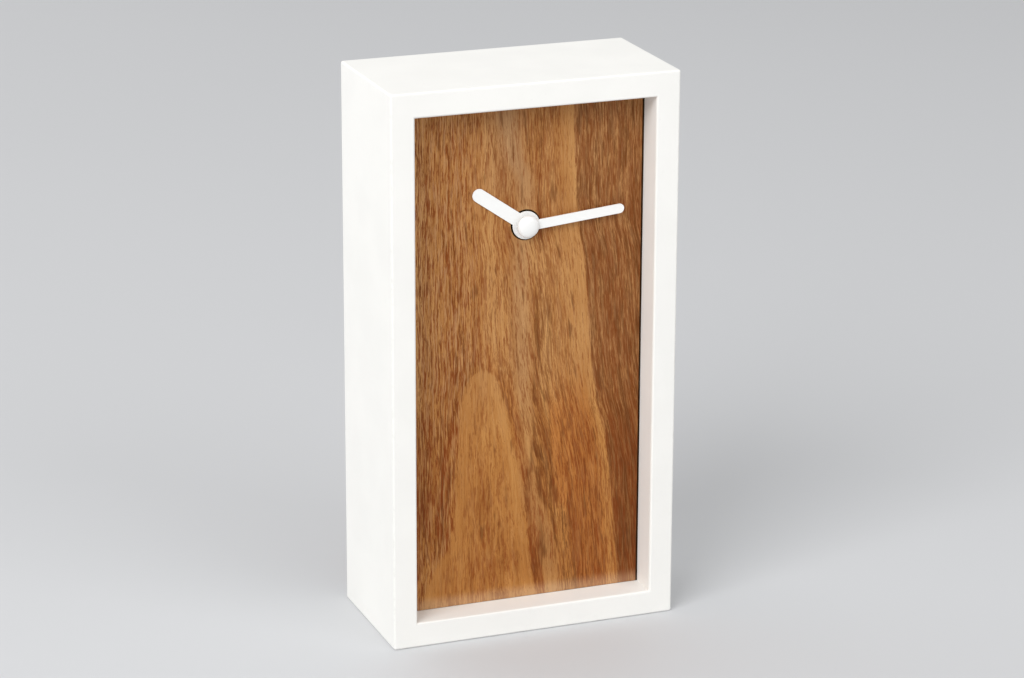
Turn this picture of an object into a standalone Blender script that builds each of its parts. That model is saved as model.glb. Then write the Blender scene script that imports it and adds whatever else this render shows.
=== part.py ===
"""Tall wooden desk clock: a white box case, a walnut dial and a battery quartz movement.

Lengths are in metres. The front of the clock faces -Y, +Z is up, and the origin is the
centre of the base. Most pieces are drawn as seen from the front: in their parent's frame
X runs right, Y runs up and Z comes towards the viewer.
"""

import math

import bmesh
import bpy
from mathutils import Matrix, Vector

# Case: four mitred boards
CASE_WIDTH = 0.1055
CASE_DEPTH = 0.0530
CASE_HEIGHT = 0.2000
SIDE_BOARD_THICKNESS = 0.0088
END_BOARD_THICKNESS = 0.0090
CASE_EDGE_RADIUS = 0.0008
MITRE_SETBACK = 0.0001

# Dial board, set back from the front edges. A tongue round its back sits in a groove, and
# its face stands in the opening with a shadow gap at the top and sides.
DIAL_RECESS = 0.0108
DIAL_THICKNESS = 0.0050
GROOVE_DEPTH = 0.0025
DIAL_TONGUE_THICKNESS = 0.0022
SHADOW_GAP = 0.0007
HEAD_SPACE = 0.0160
NUT_POCKET_DEPTH = 0.0034

# Clearances between pieces
FIT_GAP = 0.0003
SMALL_GAP = 0.0001
CUT_OVERRUN = 0.0010
JOIN_OVERLAP = 0.0002

# Hands, shown at about thirteen minutes past ten
HOUR_HAND_ANGLE = 305.0
MINUTE_HAND_ANGLE = 84.8
HAND_THICKNESS = 0.00045
HOUR_HAND_LENGTH = 0.0236
HOUR_HAND_WIDTH = 0.0048
HOUR_HUB_RADIUS = 0.0050
HOUR_HAND_STANDOFF = 0.00015
HOUR_COLLAR_WALL = 0.0008
HOUR_COLLAR_LENGTH = 0.0010
MINUTE_HAND_LENGTH = 0.0360
MINUTE_HAND_WIDTH = 0.0034
MINUTE_HUB_RADIUS = 0.0034
HAND_SPACING = 0.0011
CAP_RADIUS = 0.0039
CAP_LENGTH = 0.0022
CAP_EDGE_RADIUS = 0.0004
CAP_SOCKET_DEPTH = 0.0014

# Movement housing
MOVEMENT_DEPTH = 0.0160
MOVEMENT_WALL = 0.0015
MOVEMENT_CORNER_RADIUS = 0.0020
MOVEMENT_EDGE_RADIUS = 0.0005
FRONT_PLATE_THICKNESS = 0.0014
BATTERY_BAY_WALL = 0.0010
FINGER_NOTCH_WIDTH = 0.0180
FINGER_NOTCH_DEPTH = 0.0060

# Bushing, washer, nut and gasket that clamp the movement to the dial
BUSHING_RADIUS = 0.0039
BUSHING_RECESS = 0.0013
GASKET_RADIUS = 0.0080
GASKET_THICKNESS = 0.0008
NUT_RADIUS = 0.0052
NUT_THICKNESS = 0.0016
NUT_SLOT_WIDTH = 0.0012
NUT_SLOT_DEPTH = 0.0008
WASHER_THICKNESS = 0.0004

# Battery
BATTERY_RADIUS = 0.0071
BATTERY_LENGTH = 0.0505
BATTERY_NUB_RADIUS = 0.0027
BATTERY_NUB_LENGTH = 0.0012
BATTERY_EDGE_RADIUS = 0.0006
BATTERY_FOOT_RADIUS = 0.0055
BATTERY_FOOT_HEIGHT = 0.0003

# Battery contacts, bent from strip
CONTACT_THICKNESS = 0.0003
CONTACT_WIDTH = 0.0030
CONTACT_SPACE = 0.0025
CONTACT_WALL_GAP = 0.0002
CONTACT_LEAF_GAP = 0.0004
CONTACT_LEAF_LEAN = 0.0005
CONTACT_FOOT_SHARE = 0.85
CONTACT_TIP_SHARE = 0.65

# Gear train
PRESSURE_ANGLE = 24.0
ADDENDUM_SHARE = 0.85
DEDENDUM_SHARE = 1.25
TOOTH_SHARE = 0.78
ROTOR_PINION_TEETH = 8
INTERMEDIATE_WHEEL_TEETH = 40
INTERMEDIATE_PINION_TEETH = 8
SECOND_WHEEL_TEETH = 48
SECOND_PINION_TEETH = 8
THIRD_WHEEL_TEETH = 60
THIRD_PINION_TEETH = 8
CENTRE_WHEEL_TEETH = 64
MINUTE_PINION_TEETH = 12
MOTION_WHEEL_TEETH = 36
MOTION_PINION_TEETH = 10
HOUR_WHEEL_TEETH = 40
SETTING_PINION_TEETH = 12
ROTOR_MODULE = 0.00035
SECOND_MODULE = 0.00040
CENTRE_MODULE = 0.00030
MOTION_MODULE = 0.00035
ROTOR_ANGLE = 140.0
INTERMEDIATE_ANGLE = 100.0
THIRD_ANGLE = 175.0
MOTION_ANGLE = 20.0
SETTING_ANGLE = 20.0
WHEEL_THICKNESS = 0.0008
WHEEL_SPACING = 0.0006
TRAIN_MARGIN = 0.00076
PINION_OVERHANG = 0.0002
ARBOR_RADIUS = 0.0006
PIVOT_RADIUS = 0.00035
PIVOT_DEPTH = 0.0008
SECOND_PIVOT_RADIUS = 0.0005
HOUR_PIPE_RADIUS = 0.0025
HOUR_PIPE_PROUD = 0.0001
MINUTE_PIPE_RADIUS = 0.0016
MINUTE_SEAT_RADIUS = 0.0014
MINUTE_BORE_RADIUS = 0.0007
MINUTE_HUB_LENGTH = 0.0010
SETTING_SHAFT_RADIUS = 0.0014

# Stepping motor
MAGNET_RADIUS = 0.0022
MAGNET_LENGTH = 0.0016
STATOR_HOLE_RADIUS = 0.0027
STATOR_NECK = 0.0008
STATOR_SPAN = 0.0220
STATOR_ARM_WIDTH = 0.0040
STATOR_THICKNESS = 0.0008
CORE_WIDTH = 0.0026
COIL_TUBE_RADIUS = 0.0019
COIL_WINDING_RADIUS = 0.0027
COIL_FLANGE_RADIUS = 0.0029
COIL_FLANGE_THICKNESS = 0.0006

# Posts, bridge and circuit board
POST_RADIUS = 0.0012
POST_PIN_RADIUS = 0.0008
POST_TIP_RADIUS = 0.0005
BRIDGE_THICKNESS = 0.0010
BRIDGE_MARGIN = 0.0020
BRIDGE_POST_X = 0.0095
BOARD_LEFT = 0.0118
BOARD_HEIGHT = 0.0128
BOARD_THICKNESS = 0.0008
BOARD_LEVEL = 0.0090
BOARD_POST_INSET = 0.0022
CHIP_RADIUS = 0.0025
CHIP_HEIGHT = 0.0009
CRYSTAL_RADIUS = 0.0010
CRYSTAL_LENGTH = 0.0060
CRYSTAL_EDGE_RADIUS = 0.0003

# Snap tongues that hold the rear cover
TONGUE_WIDTH = 0.0060
TONGUE_THICKNESS = 0.0010
TONGUE_HEIGHT = 0.0060
TONGUE_HOOK_HEIGHT = 0.0014
TONGUE_SIDE_HEIGHT = 0.0140
TONGUE_TOP_OFFSET = 0.0130

# Setting knob
KNOB_RADIUS = 0.0060
KNOB_HEIGHT = 0.0026
KNOB_RIB_DEPTH = 0.0004
KNOB_RIBS = 24
KNOB_SOCKET_DEPTH = 0.0018
KNOB_DISH_SHARE = 0.62
KNOB_DISH_DEPTH = 0.0005

# Smoothness of round shapes
FINE_STEPS = 32
TURN_STEPS = 24
SMALL_STEPS = 12
CORNER_STEPS = 4
EDGE_SEGMENTS = 2
SMOOTH_ANGLE = 35.0
WELD_DISTANCE = 0.000001

COLOURS = {
    "white_paint": ((0.86, 0.86, 0.84), 0.45, 0.0),
    "walnut": ((0.33, 0.17, 0.075), 0.5, 0.0),
    "hand_enamel": ((0.87, 0.87, 0.86), 0.35, 0.0),
    "black_plastic": ((0.02, 0.02, 0.02), 0.45, 0.0),
    "white_nylon": ((0.75, 0.74, 0.68), 0.5, 0.0),
    "brass": ((0.68, 0.48, 0.20), 0.3, 1.0),
    "steel": ((0.55, 0.55, 0.56), 0.35, 1.0),
    "rubber": ((0.03, 0.03, 0.03), 0.8, 0.0),
    "copper": ((0.60, 0.25, 0.12), 0.35, 1.0),
    "magnet": ((0.12, 0.12, 0.13), 0.4, 0.6),
    "circuit_board": ((0.05, 0.20, 0.09), 0.5, 0.0),
    "epoxy": ((0.015, 0.015, 0.015), 0.3, 0.0),
    "battery_sleeve": ((0.10, 0.11, 0.12), 0.3, 0.0),
}


# Sizes that follow from the ones above

HALF_WIDTH = CASE_WIDTH / 2
HALF_DEPTH = CASE_DEPTH / 2
OPENING_HALF_WIDTH = HALF_WIDTH - SIDE_BOARD_THICKNESS

# Heights above the inner face of the movement's front plate, towards the viewer
PLATE_FRONT = FRONT_PLATE_THICKNESS
GASKET_BACK = PLATE_FRONT + SMALL_GAP
DIAL_BACK = GASKET_BACK + GASKET_THICKNESS + SMALL_GAP
DIAL_FRONT = DIAL_BACK + DIAL_THICKNESS
BUSHING_FRONT = DIAL_FRONT - BUSHING_RECESS
WASHER_BACK = DIAL_FRONT - NUT_POCKET_DEPTH + SMALL_GAP
NUT_BACK = WASHER_BACK + WASHER_THICKNESS + SMALL_GAP
HOUR_HAND_BACK = DIAL_FRONT + HOUR_HAND_STANDOFF
HOUR_HAND_FRONT = HOUR_HAND_BACK + HAND_THICKNESS
MINUTE_HAND_BACK = HOUR_HAND_FRONT + HAND_SPACING
MINUTE_HAND_FRONT = MINUTE_HAND_BACK + HAND_THICKNESS
CAP_BACK = MINUTE_HAND_FRONT + SMALL_GAP
CAP_FRONT = CAP_BACK + CAP_LENGTH
PLATE_Y = DIAL_FRONT + DIAL_RECESS - HALF_DEPTH

# Housing faces, measured the same way, so what lies behind the plate is negative
COVER_BACK = FRONT_PLATE_THICKNESS - MOVEMENT_DEPTH
COVER_INNER = COVER_BACK + MOVEMENT_WALL
BAY_FLOOR = -SMALL_GAP - BATTERY_BAY_WALL
BATTERY_LEVEL = BAY_FLOOR - FIT_GAP - BATTERY_RADIUS

# Centre distances of the gears
SECOND_DISTANCE = SECOND_MODULE * (SECOND_WHEEL_TEETH + INTERMEDIATE_PINION_TEETH) / 2
ROTOR_DISTANCE = ROTOR_MODULE * (INTERMEDIATE_WHEEL_TEETH + ROTOR_PINION_TEETH) / 2
THIRD_DISTANCE = CENTRE_MODULE * (CENTRE_WHEEL_TEETH + THIRD_PINION_TEETH) / 2
THIRD_MODULE = 2 * THIRD_DISTANCE / (THIRD_WHEEL_TEETH + SECOND_PINION_TEETH)
MOTION_DISTANCE = MOTION_MODULE * (MOTION_WHEEL_TEETH + MINUTE_PINION_TEETH) / 2
HOUR_MODULE = 2 * MOTION_DISTANCE / (HOUR_WHEEL_TEETH + MOTION_PINION_TEETH)
SETTING_DISTANCE = MOTION_MODULE * (MOTION_WHEEL_TEETH + SETTING_PINION_TEETH) / 2

# The housing is as wide as the battery with its contacts. From the hub down it holds the
# second wheel, the wall of the battery bay and the battery, and the hub is its middle.
SECOND_WHEEL_RADIUS = SECOND_MODULE * (SECOND_WHEEL_TEETH / 2 + ADDENDUM_SHARE)
TRAIN_FLOOR = -SECOND_WHEEL_RADIUS - TRAIN_MARGIN
BAY_TOP = TRAIN_FLOOR - BATTERY_BAY_WALL
BATTERY_HEIGHT = BAY_TOP - FIT_GAP - BATTERY_RADIUS
INNER_SIDE = (BATTERY_LENGTH + CONTACT_SPACE) / 2
INNER_TOP = FIT_GAP + BATTERY_RADIUS - BATTERY_HEIGHT
OUTER_SIDE = INNER_SIDE + MOVEMENT_WALL
OUTER_TOP = INNER_TOP + MOVEMENT_WALL
HUB_HEIGHT = CASE_HEIGHT - END_BOARD_THICKNESS - HEAD_SPACE - OUTER_TOP


def polar(start, distance, degrees):
    """Point at a distance and direction from a start point, in the front view."""
    angle = math.radians(degrees)
    return (start[0] + distance * math.cos(angle), start[1] + distance * math.sin(angle))


CENTRE = (0, 0)
THIRD_PLACE = polar(CENTRE, THIRD_DISTANCE, THIRD_ANGLE)
INTERMEDIATE_PLACE = polar(CENTRE, SECOND_DISTANCE, INTERMEDIATE_ANGLE)
ROTOR_PLACE = polar(INTERMEDIATE_PLACE, ROTOR_DISTANCE, ROTOR_ANGLE)
MOTION_PLACE = polar(CENTRE, MOTION_DISTANCE, MOTION_ANGLE)
SETTING_PLACE = polar(MOTION_PLACE, SETTING_DISTANCE, SETTING_ANGLE)
STATOR_HALF_BAR = STATOR_HOLE_RADIUS + STATOR_NECK
COIL_HEIGHT = ROTOR_PLACE[1] + STATOR_HALF_BAR + FIT_GAP + COIL_FLANGE_RADIUS
STATOR_POSTS = (
    (ROTOR_PLACE[0] - STATOR_SPAN / 2, COIL_HEIGHT),
    (ROTOR_PLACE[0] + STATOR_SPAN / 2, COIL_HEIGHT),
)
BRIDGE_POST = (BRIDGE_POST_X, TRAIN_FLOOR + FIT_GAP + BRIDGE_MARGIN)


def wheel_front(layer):
    """Front face of the wheel in a layer, counted from the front plate backwards."""
    return -FIT_GAP - layer * (WHEEL_THICKNESS + WHEEL_SPACING)


HOUR_LAYER = 0
MOTION_LAYER = 1
CENTRE_LAYER = 2
THIRD_LAYER = 3
SECOND_LAYER = 4
INTERMEDIATE_LAYER = 5

INTERMEDIATE_BACK = wheel_front(INTERMEDIATE_LAYER) - WHEEL_THICKNESS
CORE_FRONT = INTERMEDIATE_BACK + WHEEL_THICKNESS / 2
CORE_BACK = CORE_FRONT - STATOR_THICKNESS
STATOR_FRONT = CORE_BACK - SMALL_GAP
STATOR_BACK = STATOR_FRONT - STATOR_THICKNESS
COIL_LEVEL = (CORE_FRONT + CORE_BACK) / 2
MAGNET_FRONT = INTERMEDIATE_BACK - PINION_OVERHANG - FIT_GAP
MAGNET_BACK = MAGNET_FRONT - MAGNET_LENGTH
BRIDGE_FRONT = COIL_LEVEL - COIL_FLANGE_RADIUS - FIT_GAP
BRIDGE_BACK = BRIDGE_FRONT - BRIDGE_THICKNESS
BOARD_RIGHT = INNER_SIDE - CONTACT_WALL_GAP - CONTACT_THICKNESS - SMALL_GAP
BOARD_BOTTOM = TRAIN_FLOOR + SMALL_GAP + CONTACT_THICKNESS + SMALL_GAP
BOARD_TOP = BOARD_BOTTOM + BOARD_HEIGHT
CONTACT_LEVEL = -BOARD_LEVEL - BOARD_THICKNESS / 2


# Scene, materials and mesh helpers

def clear_scene():
    """Start from an empty scene."""
    for item in list(bpy.data.objects):
        bpy.data.objects.remove(item, do_unlink=True)


def new_collection(name):
    collection = bpy.data.collections.new(name)
    bpy.context.scene.collection.children.link(collection)
    return collection


def make_material(name):
    """Principled material in the piece's colour."""
    colour, roughness, metallic = COLOURS[name]
    material = bpy.data.materials.new(name)
    material.use_nodes = True
    shader = material.node_tree.nodes["Principled BSDF"]
    shader.inputs["Base Color"].default_value = (*colour, 1.0)
    shader.inputs["Roughness"].default_value = roughness
    shader.inputs["Metallic"].default_value = metallic
    return material


def rectangle(left, bottom, right, top):
    return [(left, bottom), (right, bottom), (right, top), (left, top)]


def arc(centre, radius, start, end, steps):
    """Points along an arc, both ends included, with angles in degrees."""
    return [polar(centre, radius, start + (end - start) * step / steps) for step in range(steps + 1)]


def circle(centre, radius, steps):
    return arc(centre, radius, 0, 360, steps)[:-1]


def rounded_rectangle(left, bottom, right, top, radius):
    corners = (
        ((right - radius, bottom + radius), -90),
        ((right - radius, top - radius), 0),
        ((left + radius, top - radius), 90),
        ((left + radius, bottom + radius), 180),
    )
    points = []
    for centre, start in corners:
        points += arc(centre, radius, start, start + 90, CORNER_STEPS)
    return points


def hull(points):
    """Convex outline round a set of points, anticlockwise."""
    ordered = sorted(set(points))

    def half(sequence):
        chain = []
        for point in sequence:
            while len(chain) > 1 and turn(chain[-2], chain[-1], point) <= 0:
                chain.pop()
            chain.append(point)
        return chain[:-1]

    return half(ordered) + half(reversed(ordered))


def turn(first, second, third):
    """Positive where three points turn left."""
    across = (second[0] - first[0]) * (third[1] - first[1])
    return across - (second[1] - first[1]) * (third[0] - first[0])


def strip_outline(path, thickness):
    """Outline of a bent strip whose middle line is the path."""
    left = []
    right = []
    for index, point in enumerate(path):
        here = Vector(point)
        before = Vector(path[max(index - 1, 0)])
        after = Vector(path[min(index + 1, len(path) - 1)])
        into = (here - before).normalized() if index else (after - here).normalized()
        out = (after - here).normalized() if index < len(path) - 1 else into
        normal_in = Vector((-into.y, into.x))
        normal_out = Vector((-out.y, out.x))
        middle = (normal_in + normal_out).normalized()
        reach = thickness / 2 / middle.dot(normal_in)
        left.append(tuple(here + middle * reach))
        right.append(tuple(here - middle * reach))
    return right + left[::-1]


def link_piece(piece, parent, place, collection, material):
    """Put a piece in its collection, under its parent and at its place."""
    collection.objects.link(piece)
    piece.parent = parent
    piece.location = place
    if material is not None:
        piece.data.materials.clear()
        piece.data.materials.append(material)


def smooth(mesh):
    mesh.shade_smooth()
    mesh.set_sharp_from_angle(angle=math.radians(SMOOTH_ANGLE))


def prism(name, outlines, back, front):
    """Object between two heights, drawn from flat outlines: the outside first, then its holes."""
    curve = bpy.data.curves.new(name + "_outline", "CURVE")
    curve.dimensions = "2D"
    curve.fill_mode = "BOTH"
    curve.extrude = (front - back) / 2
    for outline in outlines:
        spline = curve.splines.new("POLY")
        spline.points.add(len(outline) - 1)
        spline.use_cyclic_u = True
        for point, (across, up) in zip(spline.points, outline):
            point.co = (across, up, 0, 1)
    drawn = bpy.data.objects.new(name + "_outline", curve)
    bpy.context.scene.collection.objects.link(drawn)
    graph = bpy.context.evaluated_depsgraph_get()
    mesh = bpy.data.meshes.new_from_object(drawn.evaluated_get(graph))
    mesh.name = name
    bpy.data.objects.remove(drawn, do_unlink=True)
    bpy.data.curves.remove(curve)
    shape = bmesh.new()
    shape.from_mesh(mesh)
    bmesh.ops.remove_doubles(shape, verts=shape.verts, dist=WELD_DISTANCE)
    bmesh.ops.translate(shape, verts=shape.verts, vec=(0, 0, (front + back) / 2))
    shape.to_mesh(mesh)
    shape.free()
    smooth(mesh)
    return bpy.data.objects.new(name, mesh)


def ease_rim(piece, height, radius):
    """Round the edges round one flat end of a prism."""
    shape = bmesh.new()
    shape.from_mesh(piece.data)
    rim = [edge for edge in shape.edges
           if all(abs(corner.co.z - height) < WELD_DISTANCE for corner in edge.verts)
           and edge.calc_face_angle(0) > math.radians(SMOOTH_ANGLE)]
    bmesh.ops.bevel(shape, geom=rim, offset=radius, offset_type="OFFSET", segments=EDGE_SEGMENTS,
                    profile=0.5, affect="EDGES", material=-1)
    shape.to_mesh(piece.data)
    shape.free()
    smooth(piece.data)


def turned(name, profile, steps, closed=False):
    """Object turned about Z from (radius, height) points that run down its outer side."""
    mesh = bpy.data.meshes.new(name)
    shape = bmesh.new()
    corners = [shape.verts.new((radius, 0, height)) for radius, height in profile]
    for first, second in zip(corners, corners[1:]):
        shape.edges.new((first, second))
    if closed:
        shape.edges.new((corners[-1], corners[0]))
    shape.to_mesh(mesh)
    shape.free()
    piece = bpy.data.objects.new(name, mesh)
    screw = piece.modifiers.new("turn", "SCREW")
    screw.axis = "Z"
    screw.angle = math.tau
    screw.steps = steps
    screw.render_steps = steps
    screw.use_merge_vertices = True
    screw.merge_threshold = WELD_DISTANCE
    screw.use_smooth_shade = False
    return piece


def ring(name, outer, inner, back, front, steps):
    """Turned washer or pipe."""
    profile = [(outer, front), (outer, back), (inner, back), (inner, front)]
    return turned(name, profile, steps, closed=True)


def stepped_profile(stages, top):
    """Profile of a stepped pin from (radius, lower end) stages, the top one first."""
    profile = [(0, top)]
    height = top
    for radius, lower in stages:
        profile += [(radius, height), (radius, lower)]
        height = lower
    return profile + [(0, height)]


class Workshop:
    """Holds the collections and joins, cuts and places pieces."""

    def __init__(self):
        self.pieces = new_collection("wooden_desk_clock")
        self.cutters = new_collection("cutters")
        self.materials = {name: make_material(name) for name in COLOURS}

    def place(self, piece, parent, material, place=(0, 0, 0)):
        link_piece(piece, parent, place, self.pieces, self.materials[material])
        return piece

    def combine(self, piece, helper, operation, offset=(0, 0, 0)):
        """Join a helper shape to a piece, or cut it out, at an offset from the piece's origin."""
        link_piece(helper, piece, offset, self.cutters, None)
        helper.name = piece.name + "_" + helper.name
        helper.hide_render = True
        helper.display_type = "WIRE"
        boolean = piece.modifiers.new(helper.name, "BOOLEAN")
        boolean.operation = operation
        boolean.solver = "EXACT"
        boolean.object = helper

    def join(self, piece, helper, offset=(0, 0, 0)):
        self.combine(piece, helper, "UNION", offset)

    def cut(self, piece, helper, offset=(0, 0, 0)):
        self.combine(piece, helper, "DIFFERENCE", offset)

    def bore(self, piece, radius, back, front):
        """Cut a round bore through a piece along its own axis."""
        profile = stepped_profile([(radius, back - CUT_OVERRUN)], front + CUT_OVERRUN)
        self.cut(piece, turned("bore", profile, TURN_STEPS))

    def empty(self, name, parent, place, tilt=0):
        """Empty that carries the frame in which a group of pieces is drawn."""
        holder = bpy.data.objects.new(name, None)
        self.pieces.objects.link(holder)
        holder.parent = parent
        holder.location = place
        holder.rotation_euler = (tilt, 0, 0)
        return holder


# Case and dial

def board_section(thickness):
    """Cross-section of a board with eased edges and the dial groove, from outside inwards."""
    radius = CASE_EDGE_RADIUS
    dial_back = -HALF_DEPTH + DIAL_RECESS + DIAL_THICKNESS
    groove_front = dial_back - DIAL_TONGUE_THICKNESS - FIT_GAP
    groove_back = dial_back + FIT_GAP
    floor = thickness - GROOVE_DEPTH
    outline = rounded_rectangle(-HALF_DEPTH, 0, HALF_DEPTH, thickness, radius)
    groove = [(groove_back, thickness), (groove_back, floor), (groove_front, floor),
              (groove_front, thickness)]
    outer_and_back = 2 * (CORNER_STEPS + 1)
    return outline[:outer_and_back] + groove + outline[outer_and_back:]


def mitred_board(name, thickness, length, other_thickness):
    """Board whose ends slope so that its inner face is shorter than its outer face."""
    board = prism(name, [board_section(thickness)], -length / 2, length / 2)
    slope = other_thickness / thickness
    for vertex in board.data.vertices:
        shortening = MITRE_SETBACK + vertex.co.y * slope
        vertex.co.z -= math.copysign(shortening, vertex.co.z)
    return board


def make_case(shop):
    """Four mitred boards round the dial; each is the bottom board turned about the depth axis."""
    along_depth = Matrix(((0, 0, 1), (1, 0, 0), (0, 1, 0))).to_4x4()
    middle = CASE_HEIGHT / 2
    end_board = (END_BOARD_THICKNESS, CASE_WIDTH, SIDE_BOARD_THICKNESS)
    side_board = (SIDE_BOARD_THICKNESS, CASE_HEIGHT, END_BOARD_THICKNESS)
    boards = (
        ("case_bottom_board", 0, (0, 0, 0), end_board),
        ("case_left_board", 90, (-HALF_WIDTH, 0, middle), side_board),
        ("case_top_board", 180, (0, 0, CASE_HEIGHT), end_board),
        ("case_right_board", 270, (HALF_WIDTH, 0, middle), side_board),
    )
    for name, angle, place, sizes in boards:
        board = mitred_board(name, *sizes)
        shop.place(board, None, "white_paint", place)
        board.rotation_euler = (Matrix.Rotation(math.radians(angle), 4, "Y") @ along_depth).to_euler()


def make_dial(shop, front):
    """Walnut board with a tongue in the grooves and a stepped hole for the nut and bushing."""
    back = HALF_DEPTH - DIAL_RECESS - DIAL_THICKNESS
    face = back + DIAL_THICKNESS
    top = CASE_HEIGHT - END_BOARD_THICKNESS
    side = OPENING_HALF_WIDTH - SHADOW_GAP
    outline = rectangle(-side, END_BOARD_THICKNESS + SMALL_GAP, side, top - SHADOW_GAP)
    dial = prism("dial_panel", [outline], back, face)
    shop.place(dial, front, "walnut")
    reach = GROOVE_DEPTH - FIT_GAP
    tongue_outline = rectangle(-OPENING_HALF_WIDTH - reach, END_BOARD_THICKNESS - reach,
                               OPENING_HALF_WIDTH + reach, top + reach)
    shop.join(dial, prism("tongue", [tongue_outline], back, back + DIAL_TONGUE_THICKNESS))
    pocket_radius = NUT_RADIUS + FIT_GAP
    hole_radius = BUSHING_RADIUS + FIT_GAP
    pocket_floor = face - NUT_POCKET_DEPTH
    profile = [(0, face + CUT_OVERRUN), (pocket_radius, face + CUT_OVERRUN), (pocket_radius, pocket_floor),
               (hole_radius, pocket_floor), (hole_radius, back - CUT_OVERRUN), (0, back - CUT_OVERRUN)]
    shop.cut(dial, turned("hub_hole", profile, FINE_STEPS), (0, HUB_HEIGHT, 0))


# Hands and cap

def hand_outline(hub_radius, width, length):
    """Flat hand with a round hub and a round tip, pointing up."""
    half = width / 2
    join = math.degrees(math.acos(half / hub_radius))
    tip = arc((0, length - half), half, 0, 180, 2 * SMALL_STEPS)
    hub = arc(CENTRE, hub_radius, 180 - join, 360 + join, FINE_STEPS)
    return tip + hub


def make_hands(shop, movement):
    """Hour hand with its collar, minute hand, and the cap that closes the hub."""
    hour_bore = HOUR_PIPE_RADIUS + SMALL_GAP
    hour_outline = hand_outline(HOUR_HUB_RADIUS, HOUR_HAND_WIDTH, HOUR_HAND_LENGTH)
    hour = prism("hour_hand", [hour_outline], HOUR_HAND_BACK, HOUR_HAND_FRONT)
    shop.place(hour, movement, "hand_enamel")
    hour.rotation_euler = (0, 0, -math.radians(HOUR_HAND_ANGLE))
    collar_back = HOUR_HAND_BACK - HOUR_COLLAR_LENGTH
    collar_profile = stepped_profile([(hour_bore + HOUR_COLLAR_WALL, collar_back)],
                                     HOUR_HAND_BACK + HAND_THICKNESS / 2)
    shop.join(hour, turned("collar", collar_profile, TURN_STEPS))
    shop.bore(hour, hour_bore, collar_back, HOUR_HAND_FRONT)

    minute_bore = MINUTE_SEAT_RADIUS + SMALL_GAP
    minute_outline = hand_outline(MINUTE_HUB_RADIUS, MINUTE_HAND_WIDTH, MINUTE_HAND_LENGTH)
    minute = prism("minute_hand", [minute_outline, circle(CENTRE, minute_bore, FINE_STEPS)],
                   MINUTE_HAND_BACK, MINUTE_HAND_FRONT)
    shop.place(minute, movement, "hand_enamel")
    minute.rotation_euler = (0, 0, -math.radians(MINUTE_HAND_ANGLE))

    edge = arc((CAP_RADIUS - CAP_EDGE_RADIUS, CAP_FRONT - CAP_EDGE_RADIUS), CAP_EDGE_RADIUS,
               90, 0, EDGE_SEGMENTS)
    socket_top = CAP_BACK + CAP_SOCKET_DEPTH
    profile = [(0, CAP_FRONT)] + edge + [(CAP_RADIUS, CAP_BACK), (minute_bore, CAP_BACK),
                                         (minute_bore, socket_top), (0, socket_top)]
    shop.place(turned("centre_cap", profile, FINE_STEPS), movement, "hand_enamel")


# Gears

def tooth_half_angle(teeth, module, radius):
    """Half the angle that a tooth takes at a radius, by the involute of its base circle."""
    pitch_radius = teeth * module / 2
    pressure = math.radians(PRESSURE_ANGLE)
    base_radius = pitch_radius * math.cos(pressure)
    local = math.acos(min(base_radius / max(radius, base_radius), 1))
    at_pitch = TOOTH_SHARE * math.pi / (2 * teeth)
    return at_pitch + (math.tan(pressure) - pressure) - (math.tan(local) - local)


def gear_outline(teeth, module, phase):
    """Gear teeth as a closed outline; the first tooth points along the phase angle."""
    pitch_radius = teeth * module / 2
    radii = [pitch_radius - DEDENDUM_SHARE * module, pitch_radius + ADDENDUM_SHARE * module]
    if teeth <= SETTING_PINION_TEETH:
        radii.insert(1, pitch_radius)
    points = []
    for tooth in range(teeth):
        middle = phase + math.tau * tooth / teeth
        flank = [(radius, tooth_half_angle(teeth, module, radius)) for radius in radii]
        for radius, half in flank:
            points.append((radius * math.cos(middle - half), radius * math.sin(middle - half)))
        for radius, half in reversed(flank):
            points.append((radius * math.cos(middle + half), radius * math.sin(middle + half)))
    return points


def meshing_phase(teeth, phase, mate_teeth, direction):
    """Phase that puts a gap of the mate where a tooth of the first gear points."""
    angle = math.radians(direction)
    past_tooth = (angle - phase) * teeth / math.tau
    return angle + math.pi - (0.5 - past_tooth) * math.tau / mate_teeth


# Phases run along each train from the gear that turns first
INTERMEDIATE_PHASE = meshing_phase(ROTOR_PINION_TEETH, 0, INTERMEDIATE_WHEEL_TEETH, ROTOR_ANGLE + 180)
SECOND_PHASE = meshing_phase(INTERMEDIATE_PINION_TEETH, 0, SECOND_WHEEL_TEETH, INTERMEDIATE_ANGLE + 180)
THIRD_PHASE = meshing_phase(SECOND_PINION_TEETH, 0, THIRD_WHEEL_TEETH, THIRD_ANGLE)
CENTRE_PHASE = meshing_phase(THIRD_PINION_TEETH, 0, CENTRE_WHEEL_TEETH, THIRD_ANGLE + 180)
MOTION_PHASE = meshing_phase(MINUTE_PINION_TEETH, 0, MOTION_WHEEL_TEETH, MOTION_ANGLE)
HOUR_PHASE = meshing_phase(MOTION_PINION_TEETH, 0, HOUR_WHEEL_TEETH, MOTION_ANGLE + 180)
SETTING_PHASE = meshing_phase(MOTION_WHEEL_TEETH, MOTION_PHASE, SETTING_PINION_TEETH, SETTING_ANGLE)


def wheel(name, teeth, module, phase, layer):
    """Toothed disc in its layer."""
    front = wheel_front(layer)
    return prism(name, [gear_outline(teeth, module, phase)], front - WHEEL_THICKNESS, front)


def pinion(teeth, module, layer, own_layer):
    """Small gear that reaches from its own wheel's layer past the wheel it meshes with."""
    front = wheel_front(layer) + PINION_OVERHANG
    return prism("pinion", [gear_outline(teeth, module, 0)], wheel_front(own_layer) - JOIN_OVERLAP, front)


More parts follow.
